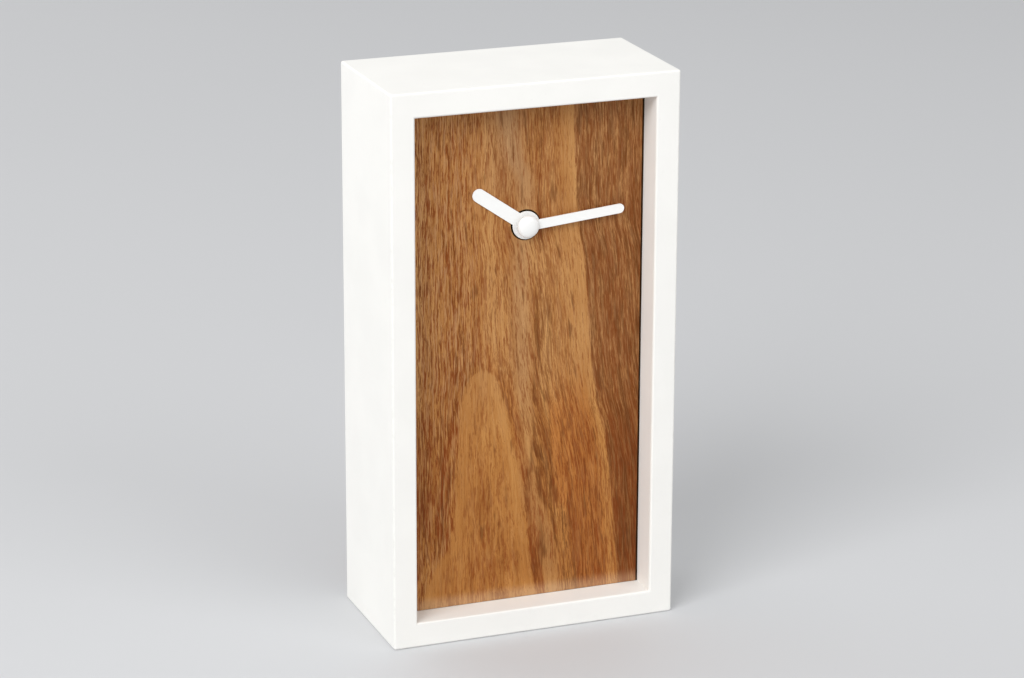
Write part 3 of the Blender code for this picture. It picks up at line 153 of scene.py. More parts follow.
class StageSettings(bpy.types.PropertyGroup):
    floor: FloatVectorProperty(name="Floor", description="Pale colour of the floor and backdrop",
                               subtype="COLOR", size=3, min=0, max=1, default=linear(206, 207, 209))
    ambient: FloatProperty(name="Ambient", description="Strength of the light from all sides",
                           default=0.56, min=0, max=2)
    key_power: FloatProperty(name="Key lamp", description="Power of the front lamp", unit="POWER",
                             default=38, min=0, max=200)
    fill_power: FloatProperty(name="Fill lamp", description="Power of the right lamp", unit="POWER",
                              default=9.5, min=0, max=200)
    top_power: FloatProperty(name="Top lamp", description="Power of the overhead lamp", unit="POWER",
                             default=2, min=0, max=200)
    back_power: FloatProperty(name="Back lamp", description="Power of the lamp behind", unit="POWER",
                              default=8, min=0, max=200)
    lens: FloatProperty(name="Lens", description="Focal length", subtype="DISTANCE_CAMERA",
                        unit="CAMERA", default=122.229, min=20, max=300)


# Shader nodes

class Graph:
    """Places shader nodes in a tree and joins them."""

    def __init__(self, tree):
        self.tree = tree

    def feed(self, socket, value):
        """Joins a socket to another, or sets its value; a colour may leave out its alpha."""
        if isinstance(value, bpy.types.NodeSocket):
            self.tree.links.new(value, socket)
        elif value is not None:
            socket.default_value = (*value, 1) if socket.type == "RGBA" and len(value) == 3 else value

    def fill(self, sockets, **values):
        """Feeds sockets by name, with _ for a space."""
        for name, value in values.items():
            self.feed(sockets[name.replace("_", " ")], value)

    def node(self, kind, *values, **settings):
        """New node with its settings, its first inputs fed in order."""
        made = self.tree.nodes.new("ShaderNode" + kind)
        for name, value in settings.items():
            setattr(made, name, value)
        for position, value in enumerate(values):
            self.feed(made.inputs[position], value)
        return made

    def math(self, operation, *values):
        return self.node("Math", *values, operation=operation).outputs[0]

    def add(self, *values):
        total = values[0]
        for value in values[1:]:
            total = self.math("ADD", total, value)
        return total

    def times(self, *values):
        total = values[0]
        for value in values[1:]:
            total = self.math("MULTIPLY", total, value)
        return total

    def minus(self, first, second):
        return self.add(first, self.times(second, -1.0))

    def weighted(self, first, *terms):
        """A value with each (input, weight) product added."""
        return self.add(first, *(self.times(value, weight) for value, weight in terms))

    def size_of(self, value):
        return self.math("ABSOLUTE", value)

    def ramp(self, value, low, high, start=0.0, end=1.0):
        """Smooth change from start to end as value goes from low to high."""
        made = self.node("MapRange", value, low, high, start, end, interpolation_type="SMOOTHSTEP")
        return made.outputs[0]

    def between(self, value, low, high, soft):
        """One between low and high, falling to zero over a soft edge."""
        return self.times(self.ramp(value, low - soft, low + soft),
                          self.ramp(value, high - soft, high + soft, 1, 0))

    def stretch(self, vector, sizes):
        return self.node("VectorMath", vector, sizes, operation="MULTIPLY").outputs[0]

    def millimetres(self, vector):
        return self.stretch(vector, (1000, 1000, 1000))

    def from_point(self, vector, point):
        return self.node("VectorMath", vector, point, operation="SUBTRACT").outputs[0]

    def noise(self, vector, scale=1.0, detail=2.0, roughness=0.5, distortion=0.0):
        """Noise value from 0 to 1."""
        made = self.node("TexNoise", noise_dimensions="3D")
        self.fill(made.inputs, Vector=vector, Scale=scale, Detail=detail, Roughness=roughness,
                  Distortion=distortion)
        return made.outputs[0]

    def mix(self, factor, first, second, blend="MIX"):
        made = self.node("Mix", data_type="RGBA", blend_type=blend)
        for position, value in ((0, factor), (6, first), (7, second)):
            self.feed(made.inputs[position], value)
        return made.outputs[2]

    def tinted(self, colour, tint):
        return self.mix(1.0, colour, tint, "MULTIPLY")

    def grey(self, value):
        return self.join(value, value, value)

    def curve(self, value, points, low, high):
        """Smooth line through (value, result) points, with results from low to high."""
        first, last = points[0][0], points[-1][0]
        share = self.node("MapRange", value, first, last, 0.0, 1.0).outputs[0]
        made = self.node("FloatCurve", 1.0, share)
        line = made.mapping.curves[0]
        places = [((at - first) / (last - first), (result - low) / (high - low)) for at, result in points]
        line.points[0].location = places[0]
        line.points[1].location = places[-1]
        for place in places[1:-1]:
            line.points.new(*place)
        made.mapping.update()
        return self.math("MULTIPLY_ADD", made.outputs[0], high - low, low)

    def split(self, vector):
        return self.node("SeparateXYZ", vector).outputs[:]

    def join(self, *values):
        return self.node("CombineXYZ", *values).outputs[0]

    def bump(self, height, distance, strength=1.0):
        made = self.node("Bump")
        self.fill(made.inputs, Height=height, Distance=distance, Strength=strength)
        return made.outputs[0]


def shared_group(name, inputs, outputs):
    """New node group with its graph, its input sockets and a way to feed its outputs."""
    tree = bpy.data.node_groups.new(name, "ShaderNodeTree")
    for label, kind, value in inputs:
        socket = tree.interface.new_socket(label, in_out="INPUT", socket_type="NodeSocket" + kind)
        if value is not None:
            socket.default_value = value
    for label, kind in outputs:
        tree.interface.new_socket(label, in_out="OUTPUT", socket_type="NodeSocket" + kind)
    graph = Graph(tree)
    start = tree.nodes.new("NodeGroupInput").outputs
    end = tree.nodes.new("NodeGroupOutput").inputs
    return graph, start, end


def shared(name, build):
    """Node group of that name, built the first time it is asked for."""
    if name not in bpy.data.node_groups:
        build(name)
    return bpy.data.node_groups[name]


def use(graph, tree, **values):
    """Places a shared group and feeds its named inputs."""
    made = graph.node("Group", node_tree=tree)
    graph.fill(made.inputs, **values)
    return made.outputs


def fine_texture(name):
    """Fine surface texture with a slow change of tone, for lacquer, enamel and plastic."""
    graph, start, end = shared_group(
        name, (("Vector", "Vector", None), ("Grain Size", "Float", 0.3), ("Patch Size", "Float", 20.0)),
        (("Height", "Float"), ("Patches", "Float"), ("Specks", "Float")))
    grain = graph.millimetres(start["Vector"])
    grain_scale = graph.math("DIVIDE", 1.0, start["Grain Size"])
    patch_scale = graph.math("DIVIDE", 1.0, start["Patch Size"])
    specks = graph.noise(grain, graph.times(grain_scale, 0.7), 1.0, 0.4)
    graph.fill(end, Height=graph.noise(grain, grain_scale, 3.0, 0.55),
               Patches=graph.noise(grain, patch_scale), Specks=graph.ramp(specks, 0.72, 0.78))


def drawn_lines(name):
    """Long fine lines along X, as rolling and brushing leave on metal, with a few scratches."""
    graph, start, end = shared_group(
        name, (("Vector", "Vector", None), ("Line Width", "Float", 0.08)),
        (("Height", "Float"), ("Scratches", "Float"), ("Tarnish", "Float")))
    scale = graph.math("DIVIDE", 1.0, start["Line Width"])
    lines = graph.stretch(start["Vector"], (20, 1000, 1000))
    loose = graph.stretch(start["Vector"], (300, 900, 1000))
    slow = graph.millimetres(start["Vector"])
    graph.fill(end, Height=graph.noise(lines, scale, 2.0, 0.6), Tarnish=graph.noise(slow, 0.35, 3.0, 0.6),
               Scratches=graph.ramp(graph.noise(loose, 1.6, 3.0, 0.6, 0.4), 0.62, 0.66))


def turning_marks(name):
    """Fine rings round an axis along Y, as a lathe leaves, about a given centre."""
    graph, start, end = shared_group(
        name, (("Vector", "Vector", None), ("Centre", "Vector", (0, 0, 0)), ("Pitch", "Float", 0.12)),
        (("Height", "Float"), ("Rings", "Float")))
    offset = graph.from_point(start["Vector"], start["Centre"])
    x, y, z = graph.split(offset)
    radius = graph.times(graph.math("SQRT", graph.add(graph.times(x, x), graph.times(z, z))), 1000)
    depth = graph.times(y, 1000)
    wobble = graph.noise(graph.millimetres(start["Vector"]), 0.4, 1.0)
    along = graph.math("DIVIDE", graph.add(radius, depth, graph.times(wobble, 0.15)), start["Pitch"])
    wave = graph.math("SINE", graph.times(along, 2 * math.pi))
    rough = graph.noise(graph.join(along, 0.0, 0.0), 0.6, 2.0)
    graph.fill(end, Height=graph.add(graph.times(wave, 0.3), rough), Rings=rough)


def box_edges(name):
    """How near a point is to the edges of a box, for paint and polish worn thin there."""
    graph, start, end = shared_group(
        name, (("Vector", "Vector", None), ("Centre", "Vector", (0, 0, 0)),
               ("Half Size", "Vector", (1, 1, 1)), ("Reach", "Float", 0.001)),
        (("Edge", "Float"), ("Wear", "Float")))
    offset = graph.from_point(start["Vector"], start["Centre"])
    size = graph.node("VectorMath", offset, operation="ABSOLUTE").outputs[0]
    inside = graph.from_point(start["Half Size"], size)
    x, y, z = graph.split(inside)
    low = graph.math("MINIMUM", graph.math("MINIMUM", x, y), z)
    high = graph.math("MAXIMUM", graph.math("MAXIMUM", x, y), z)
    second = graph.math("SUBTRACT", graph.add(x, y, z), graph.add(low, high))
    near = graph.math("SUBTRACT", 1.0, graph.math("DIVIDE", second, start["Reach"]))
    edge = graph.ramp(near, 0.0, 1.0)
    patchy = graph.noise(graph.millimetres(start["Vector"]), 0.25, 4.0, 0.65)
    graph.fill(end, Edge=edge, Wear=graph.times(edge, graph.ramp(patchy, 0.5, 0.68)))


# Walnut board, in millimetres: its face before the clock's middle, the shift of its figure, and its
# bands as (height, offset) on the face

DIAL_FACE = 15.7
FIGURE_SHIFT_ACROSS = 0.4
FIGURE_SHIFT_UP = -0.22

LEAN = ((9, 17.0), (36, 14.9), (53, 13.3), (69, 10.8), (82, 8.0), (97, 5.9), (113, 4.6), (132, 2.9),
        (151, 0.0), (169, -0.5), (191, -1.5))
LIGHT_BAND_EDGE = ((9, 36.4), (16, 35.9), (36, 34.3), (53, 32.7), (69, 30.2), (82, 27.4), (97, 25.3),
                   (113, 24.0), (132, 22.3), (151, 19.4), (169, 18.9), (185, 18.0), (191, 17.8))
GREY_STREAK = ((9, 11.5), (20, 9.6), (33, 7.4), (50, 2.6), (75, 0.6), (100, -0.6), (130, -1.4), (147, -0.4),
               (159, 0.8), (167, -1.6), (171, -3.6), (186, -6.6), (191, -7.2))
DARK_LINE = ((9, 16.5), (19, 14.2), (39, 10.4), (49, 6.2), (65, 4.5), (82, 4.2), (101, 4.9), (130, 4.2),
             (191, 5.0))
ARCH_CENTRE = ((9, -17.0), (16, -16.5), (26, -14.8), (33, -13.0), (47, -13.2), (64, -14.0), (79, -15.0),
               (92, -16.0), (96, -15.4))
ARCH_HALF_WIDTH = ((9, 21.5), (16, 19.9), (25, 17.6), (33, 14.4), (47, 12.7), (64, 10.7), (79, 8.6),
                   (88, 6.6), (92, 4.9), (94.6, 2.4), (96, 0.0))


def walnut_figure(name):
    """Flat-sawn walnut: straight dark-flecked grain, one cathedral, a grey streak and a light band.

    Places and widths are in millimetres. The grain runs through the board's thickness at a slant,
    so its back is like its face but not the same.
    """
    graph, start, end = shared_group(
        name, (("Vector", "Vector", None), ("Deep", "Color", None), ("Brown", "Color", None),
               ("Base", "Color", None), ("Tan", "Color", None), ("Fleck", "Color", None)),
        (("Colour", "Color"), ("Roughness", "Float"), ("Height", "Float")))
    add, minus, times, weighted, size_of = graph.add, graph.minus, graph.times, graph.weighted, graph.size_of
    ramp, between, curve, join = graph.ramp, graph.between, graph.curve, graph.join
    mix, tinted = graph.mix, graph.tinted
    millimetres = graph.millimetres(start["Vector"])
    x, y, z = graph.split(millimetres)
    x, z = add(x, FIGURE_SHIFT_ACROSS), add(z, FIGURE_SHIFT_UP)
    depth = add(y, DIAL_FACE)
    wander = graph.noise(join(times(x, 0.12), times(y, 0.1), times(z, 0.05)))
    x = add(x, times(depth, 0.45), times(add(wander, -0.5), 1.6))

    lean = curve(z, LEAN, -2.0, 18.0)
    leaning = ramp(add(x, times(lean, -0.5)), -34, 6)
    grain = add(x, times(lean, leaning, -1.0))

    def field(across, along, detail=2.0, roughness=0.5, offset=0.0):
        """Noise drawn out along the grain, with its own number of changes to the millimetre."""
        place = join(add(times(grain, across), offset), times(y, across), times(z, along))
        return graph.noise(place, 1.0, detail, roughness)

    ragged = times(add(field(0.9, 0.05, 3.0, 0.6, 31.0), -0.5), 3.2)

    # Places of the bands
    band = minus(x, curve(z, LIGHT_BAND_EDGE, 15.0, 38.0))
    light_band = times(ramp(add(band, ragged), -11.0, -1.0),
                       ramp(weighted(band, (ragged, 0.25)), -0.5, 0.3, 1, 0), ramp(z, 50, 115))
    right_side = ramp(weighted(band, (ragged, 0.35)), -0.4, 0.5)
    from_streak = minus(x, curve(z, GREY_STREAK, -10.0, 14.0))
    streak = ramp(size_of(weighted(from_streak, (ragged, 0.5))), 0.8, 5.6, 1, 0)
    line_offset = weighted(minus(x, curve(z, DARK_LINE, 2.0, 18.0)), (ragged, 0.3))
    line_height = ramp(z, 128, 116)
    broken = ramp(field(1.5, 0.11, offset=201.0), 0.40, 0.52)
    line = times(ramp(size_of(line_offset), 0.3, 1.7, 1, 0), line_height, broken)
    beside_line = between(line_offset, 0.8, 6.0, 1.6)
    centre = curve(z, ARCH_CENTRE, -18.0, -12.0)
    width = curve(z, ARCH_HALF_WIDTH, 0.0, 22.0)
    from_centre = weighted(minus(x, centre), (ragged, 0.3))
    arch_depth = minus(width, size_of(from_centre))
    below_peak = ramp(z, 96.5, 94.0)
    arch = times(ramp(arch_depth, -0.9, 0.9), below_peak)
    rim = times(between(arch_depth, 1.0, 3.6, 1.8), below_peak)
    rim = graph.math("MAXIMUM", rim, times(arch, ramp(z, 84, 92, 0.0, 0.8)))
    flank = times(between(arch_depth, -4.4, -0.7, 0.8), ramp(from_centre, -1, 2), ramp(z, 112, 88))
    from_left_foot = add(from_centre, width)
    left_dark = times(ramp(from_left_foot, 0.3, -1.2), ramp(z, 118, 70), ramp(z, 22, 40))
    heart = times(ramp(from_left_foot, -1.0, -3.5), between(z, 36, 56, 12))
    orange = times(ramp(line_offset, 2, 8), ramp(band, -2, -5), ramp(z, 100, 70))
    foot = ramp(z, 14.5, 9.5)
    low_right = times(right_side, ramp(z, 90, 50))
    left_edge = times(ramp(x, -34, -39), ramp(z, 40, 90))
    # Painted shade: the board darker towards its right edge, standing in for the right wall's shadow
    right_wall_painted_shade = ramp(x, 36, 40)
    low = times(ramp(z, 44, 26), ramp(z, 12, 20))
    left_shade = times(between(x, -37, -27, 3), ramp(z, 40, 100))
    heartwood = times(between(x, -14, 20, 6), between(z, 70, 150, 20))
    low_middle = times(between(x, -12, 12, 5), between(z, 18, 36, 8))
    outer_left = times(ramp(x, -12, -26), ramp(arch, 1, 0))
    dull_top = times(between(x, -14, 0, 4), ramp(z, 150, 165))
    right_of_line = times(ramp(line_offset, 1, 3), ramp(band, -6, -9), ramp(z, 60, 80))

    # Tone from dark to light
    broad = add(field(0.22, 0.010), -0.5)
    streaks = add(field(0.9, 0.022, offset=7.0), -0.5)
    fibres = add(field(4.5, 0.12, 2.0, 0.6, 3.0), -0.5)
    mottle = add(graph.noise(graph.stretch(millimetres, (0.12, 0.12, 0.05))), -0.5)
    streak_weight = weighted(0.40, (outer_left, 0.45))
    tone = weighted(
        0.555, (broad, 0.45), (fibres, 0.45), (streaks, streak_weight), (mottle, 0.35), (light_band, 0.12),
        (right_side, -0.05), (line, -0.20), (rim, 0.05), (arch, 0.01), (left_dark, -0.11), (heart, -0.21),
        (flank, -0.14), (foot, 0.20), (low_right, -0.20), (left_edge, 0.24), (left_shade, -0.05),
        (orange, -0.14), (low_middle, -0.10), (low, -0.05), (streak, 0.06), (heartwood, 0.06),
        (right_of_line, 0.08), (right_wall_painted_shade, -0.09))
    dark_share = ramp(tone, 0.08, 0.32)
    mid_share = ramp(tone, 0.26, 0.54)
    light_share = ramp(tone, 0.5, 0.86)
    colour = mix(dark_share, start["Deep"], start["Brown"])
    colour = mix(mid_share, colour, start["Base"])
    colour = mix(light_share, colour, start["Tan"])

    # Grey and orange casts
    grey = weighted(0.0, (streak, 0.34), (right_side, 0.22), (foot, 0.6), (dull_top, 0.25))
    lightness = graph.node("RGBToBW", colour).outputs[0]
    grey_colour = tinted(graph.grey(lightness), (1.45, 0.92, 0.46))
    colour = mix(graph.math("MINIMUM", times(grey, 0.62), 0.6), colour, grey_colour)
    warm = graph.math("MINIMUM", weighted(0.0, (orange, 0.6), (flank, 0.3)), 1.0)
    colour = mix(warm, colour, tinted(colour, (1.10, 0.93, 0.80)))

    # Dark flecks: short pores everywhere, longer and broader ones in some bands
    density = weighted(
        0.0, (right_side, 0.055), (light_band, -0.09), (streak, -0.06), (rim, -0.09), (flank, 0.05),
        (beside_line, 0.045), (left_dark, 0.03), (broad, -0.12), (arch, -0.02), (outer_left, -0.005))
    short = ramp(add(field(2.2, 0.18, 3.5, 0.62, 11.0), density), 0.505, 0.575)
    fine_flecks = ramp(add(field(3.8, 0.30, 3.0, 0.6, 131.0), density), 0.53, 0.60)
    long_flecks = ramp(add(field(1.2, 0.10, 3.5, 0.6, 23.0), density), 0.555, 0.63)
    patch = times(between(line_offset, 2.0, 8.5, 2.0), between(z, 30, 60, 8))
    upper = times(between(x, 1.0, 9.0, 2.0), between(z, 152, 182, 6))
    beside = times(between(line_offset, -1.0, 3.5, 1.0), between(z, 98, 130, 8))
    broad_flecks = weighted(
        field(0.62, 0.075, offset=41.0), (patch, 0.08), (upper, 0.04), (beside, 0.07),
        (right_side, 0.075), (low_right, 0.02), (orange, 0.02), (light_band, -0.05), (arch, -0.04))
    broad_flecks = ramp(add(broad_flecks, -0.11), 0.50, 0.60)
    tint = field(0.5, 0.06, 1.0, 0.5, 57.0)
    dark_fleck = tinted(start["Fleck"], (0.60, 0.80, 1.0))
    dark_zone = graph.math("MAXIMUM", times(right_side, 0.7), times(beside_line, line_height))
    darker = weighted(ramp(tint, 0.45, 0.65, 0.0, 0.5), (dark_zone, 0.5))
    fleck_colour = mix(darker, start["Fleck"], dark_fleck)
    depth_of_flecks = weighted(1.08, (outer_left, 0.46), (arch, -0.24), (right_of_line, -0.22), (orange, 0.2),
                               (low_right, 0.35))
    colour = mix(times(broad_flecks, 0.65), colour, dark_fleck)
    for flecks, strength in ((long_flecks, 0.42), (short, 0.58), (fine_flecks, 0.50)):
        colour = mix(times(flecks, strength, depth_of_flecks), colour, fleck_colour)
    colour = mix(times(line, 0.5), colour, dark_fleck)

    # Pale fibres, the cooler upper part, the paler and greyer strip along the bottom, the open pores and the
    # silk of the grain as a painted sheen
    pale = tinted(start["Tan"], (1.0, 1.06, 1.35))
    pale_fibres = ramp(field(2.9, 0.13, 2.5, 0.55, 171.0), 0.50, 0.60)
    pale_share = times(pale_fibres, weighted(0.18, (outer_left, 0.36)))
    colour = mix(pale_share, colour, pale)
    colour = mix(ramp(z, 66, 100), colour, tinted(colour, (1.0, 1.07, 1.30)))
    colour = mix(times(foot, 0.32), colour, linear(205, 165, 130))
    pores = ramp(field(7.0, 0.9, 1.0, 0.5, 71.0), 0.66, 0.74)
    colour = mix(times(pores, 0.45), colour, start["Fleck"])
    # Painted sheen: the silk of the grain as lighter and darker stripes along the fibres, multiplied into the
    # colour
    painted_silk_sheen = ramp(field(9.0, 0.4, 1.0, 0.5, 87.0), 0.2, 0.8, 0.93, 1.07)

    graph.fill(end, Colour=tinted(colour, graph.grey(painted_silk_sheen)),
               Roughness=weighted(0.50, (short, 0.10), (pores, 0.12), (fibres, 0.12)),
               Height=weighted(0.6, (fibres, 0.5), (pores, -0.6), (short, -0.15)))


# Materials

def new_material(name):
    """Material with an empty graph, its shader and the piece's own coordinates."""
    material = bpy.data.materials.new(name)
    material.use_nodes = True
    tree = material.node_tree
    graph = Graph(tree)
    shader = tree.nodes["Principled BSDF"]
    place = tree.nodes.new("ShaderNodeTexCoord").outputs["Object"]
    return material, graph, shader, place


def coated(name, colour, roughness, grain_size, grain_depth, edges=None, specks=0.3, variation=0.03,
           coat=0.0):
    """Painted, enamelled or moulded surface: fine texture, slow change of tone and rubbed edges.

    The grain's size is in millimetres and its depth in micrometres.
    """
    material, graph, shader, place = new_material(name)
    texture = use(graph, shared("Fine texture", fine_texture), Vector=place, Grain_Size=grain_size)
    tone = graph.ramp(texture["Patches"], 0.3, 0.7, 1.0 - variation, 1.0)
    finish = graph.tinted(colour, graph.grey(tone))
    darker = shaded(colour, 0.8)
    finish = graph.mix(graph.times(texture["Specks"], specks), finish, darker)
    gloss = graph.weighted(roughness - 0.05, (texture["Patches"], 0.10), (texture["Specks"], 0.1))
    if edges:
        centre, half_size, reach, worn, amount = edges
        edge = use(graph, shared("Box edges", box_edges), Vector=place, Centre=centre, Half_Size=half_size,
                   Reach=reach)
        finish = graph.mix(graph.times(edge["Wear"], amount), finish, worn)
        gloss = graph.add(gloss, graph.times(edge["Edge"], -0.06))
    graph.fill(shader.inputs, Base_Color=finish, Roughness=gloss,
               Normal=graph.bump(texture["Height"], grain_depth * MICROMETRE), Coat_Weight=coat,
               Coat_Roughness=0.12)
    return material, graph, shader, place, finish, gloss


def metal(name, colour, dull, roughness, turned_centre=None, line_width=0.08):
    """Rolled or turned metal with fine lines, faint scratches and a slow tarnish."""
    material, graph, shader, place = new_material(name)
    lines = use(graph, shared("Drawn lines", drawn_lines), Vector=place, Line_Width=line_width)
    height = lines["Height"]
    if turned_centre is not None:
        rings = use(graph, shared("Turning marks", turning_marks), Vector=place, Centre=turned_centre)
        height = rings["Height"]
    tarnish = graph.ramp(lines["Tarnish"], 0.35, 0.75)
    shade = graph.mix(graph.times(tarnish, 0.6), colour, dull)
    bright = tuple(min(value * 1.2, 1.0) for value in colour)
    shade = graph.mix(graph.times(lines["Scratches"], 0.35), shade, bright)
    graph.fill(shader.inputs, Base_Color=shade, Metallic=1.0, Normal=graph.bump(height, 4 * MICROMETRE),
               Roughness=graph.weighted(roughness - 0.06, (tarnish, 0.14), (height, 0.1)))
    return material


def finish_nodes(material, *names):
    """Gives CAD nodes a material in their own slots."""
    for name in names:
        for slot in NODES[name].material_slots:
            slot.material = material


# Shapes

def copy_of(node):
    """Editable copy of a node's solid, with its triangles joined into whole faces."""
    shape = bmesh.new()
    shape.from_mesh(NODES[node].data)
    bmesh.ops.remove_doubles(shape, verts=shape.verts, dist=MERGE_DISTANCE)
    bmesh.ops.dissolve_limit(shape, angle_limit=FLAT_ANGLE, verts=shape.verts, edges=shape.edges)
    return shape


def round_edges(shape, edges, radius, segments):
    bmesh.ops.bevel(shape, geom=edges, offset=radius, offset_type="OFFSET", segments=segments, profile=0.5,
                    affect="EDGES", material=-1, clamp_overlap=True)


def round_rims(shape, radius, segments=2, angle=RIM_ANGLE):
    """Rounds every convex edge sharper than an angle."""
    edges = [edge for edge in shape.edges
             if len(edge.link_faces) == 2 and edge.is_convex and edge.calc_face_angle() > angle]
    round_edges(shape, edges, radius, segments)


def spun(profile, centre, steps):
    """Closed turned solid from (radius, depth) points, turned about an axis along Y."""
    shape = bmesh.new()
    points = [shape.verts.new((radius, depth, 0)) for radius, depth in profile]
    edges = [shape.edges.new(pair) for pair in zip(points, points[1:])]
    bmesh.ops.spin(shape, geom=points + edges, cent=(0, 0, 0), axis=(0, 1, 0), dvec=(0, 0, 0),
                   angle=2 * math.pi, steps=steps, use_merge=True, use_duplicate=False)
    bmesh.ops.remove_doubles(shape, verts=shape.verts, dist=MERGE_DISTANCE)
    bmesh.ops.recalc_face_normals(shape, faces=shape.faces)
    bmesh.ops.translate(shape, verts=shape.verts, vec=centre)
    return shape


def piece(name, shape, body, slot, material, *nodes):
    """Finished piece that rides on a body and stands for CAD nodes."""
    for face in shape.faces:
        face.smooth = True
    for edge in shape.edges:
        edge.smooth = len(edge.link_faces) == 2 and edge.calc_face_angle() < SHARP_ANGLE
    mesh = bpy.data.meshes.new(name)
    shape.to_mesh(mesh)
    shape.free()
    mesh.materials.append(material)
    made = bpy.data.objects.new(name, mesh)
    bpy.context.scene.collection.objects.link(made)
    even = made.modifiers.new("even_shading", "WEIGHTED_NORMAL")
    even.keep_sharp = True
    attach(made, body)
    if nodes:
        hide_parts(*nodes)


# Case

def case_section():
    """Points (inset, depth) round a board's section, from the outer back edge through the groove."""
    left_low, left_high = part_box("case_left_board")
    dial_low, dial_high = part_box("dial_panel")
    thickness = left_high.x - left_low.x
    groove = left_high.x - dial_low.x + TONGUE_CLEARANCE
    back, front = left_high.y, left_low.y
    groove_back = dial_high.y + TONGUE_CLEARANCE
    groove_front = dial_high.y - TONGUE_ROOM
    return [(0, back), (0, front), (thickness, front), (thickness, groove_front),
            (thickness - groove, groove_front), (thickness - groove, groove_back),
            (thickness, groove_back), (thickness, back)]


def case_shell(radius):
    """The four boards as one seamless painted frame, its outer and inner edges eased."""
    low, high = Vector(CAD_BOX[0]), Vector(CAD_BOX[1])
    side_low, side_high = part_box("case_left_board")
    end_low, end_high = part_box("case_bottom_board")
    end_share = (end_high.z - end_low.z) / (side_high.x - side_low.x)
    middle_height = (low.z + high.z) / 2
    shape = bmesh.new()

    def at(inset, depth, across, up):
        x = (high.x - inset) * across
        z = middle_height + (high.z - middle_height - inset * end_share) * up
        return Vector((x, depth, z))

    corners = ((-1, -1), (1, -1), (1, 1), (-1, 1))
    loops = []
    section = case_section()
    for across, up in corners:
        points = [shape.verts.new(at(inset, depth, across, up)) for inset, depth in section]
        loops.append([shape.edges.new(pair) for pair in zip(points, points[1:] + points[:1])])
    for number, loop in enumerate(loops):
        following = loops[(number + 1) % len(loops)]
        bmesh.ops.bridge_loops(shape, edges=loop + following)
    bmesh.ops.recalc_face_normals(shape, faces=shape.faces)

    thickness = section[2][0]
    rims = []
    for edge in shape.edges:
        if len(edge.link_faces) != 2 or not edge.is_convex or edge.calc_face_angle() < RIM_ANGLE:
            continue
        depths = [vertex.co.y for vertex in edge.verts]
        inside_groove = all(low.y + radius < depth < high.y - radius for depth in depths)
        if not inside_groove:
            rims.append(edge)
    round_edges(shape, rims, radius, 4)
    return shape


class DESKCLOCK_OT_case(bpy.types.Operator):
    """Builds the seamless painted case over the four boards"""
    bl_idname = "desk_clock.case"
    bl_label = "Painted case"

    def execute(self, context):
        settings = context.scene.desk_clock_case
        low, high = Vector(CAD_BOX[0]), Vector(CAD_BOX[1])
        paint = tuple(settings.paint)
        worn = shaded(paint, 0.82)
        edges = ((low + high) / 2, (high - low) / 2, 0.0011, worn, 0.5)
        material, graph, shader, place, finish, gloss = coated(
            "case_paint", paint, 0.50, 1.1, 20, edges, specks=0.10, variation=0.025)
        dial_low, dial_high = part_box("dial_panel")
        x, y, z = graph.split(place)
        inward = graph.size_of(x)
        height = graph.size_of(graph.add(z, -(low.z + high.z) / 2))
        reach_x = dial_high.x + MILLIMETRE
        reach_z = (dial_high.z - dial_low.z) / 2 + MILLIMETRE
        # Painted shade: bare wood inside the groove and the gap round the dial, kept dark so the gap reads
        # shaded
        in_depth = graph.times(graph.ramp(y, dial_low.y + 0.0001, dial_low.y + 0.0004),
                               graph.ramp(y, dial_high.y + 0.0005, dial_high.y + 0.0002),
                               graph.math("LESS_THAN", inward, reach_x),
                               graph.math("LESS_THAN", height, reach_z))
        bare_wood_and_gap_shade = tuple(settings.bare_board_and_gap_shade)
        wood = graph.noise(graph.stretch(place, (900, 900, 120)), 1.0, 3.0)
        groove = graph.mix(wood, bare_wood_and_gap_shade, shaded(bare_wood_and_gap_shade, 0.5))
        graph.fill(shader.inputs, Base_Color=graph.mix(in_depth, finish, groove), Specular_IOR_Level=0.3,
                   Roughness=graph.weighted(gloss, (in_depth, 0.3)))
        piece("case_shell", case_shell(settings.edge_radius), "case", "white_paint", material,
              "case_bottom_board", "case_left_board", "case_right_board", "case_top_board")
        return {"FINISHED"}


# Dial

class DESKCLOCK_OT_dial(bpy.types.Operator):
    """Builds the walnut dial board with its eased edges and its grain"""
    bl_idname = "desk_clock.dial"
    bl_label = "Walnut dial"

    def execute(self, context):
        settings = context.scene.desk_clock_dial
        material, graph, shader, place = new_material("walnut_oiled")
        wood = use(graph, shared("Walnut figure", walnut_figure), Vector=place,
                   Deep=settings.deep, Brown=settings.brown, Base=settings.base, Tan=settings.tan,
                   Fleck=settings.fleck)
        graph.fill(shader.inputs, Base_Color=wood["Colour"], Roughness=wood["Roughness"],
                   Normal=graph.bump(wood["Height"], 30 * MICROMETRE), Specular_IOR_Level=0.18)
        shape = copy_of("dial_panel")
        round_rims(shape, settings.edge_radius, 2)
        piece("dial_board", shape, "case", "walnut", material, "dial_panel")
        return {"FINISHED"}


# Hands

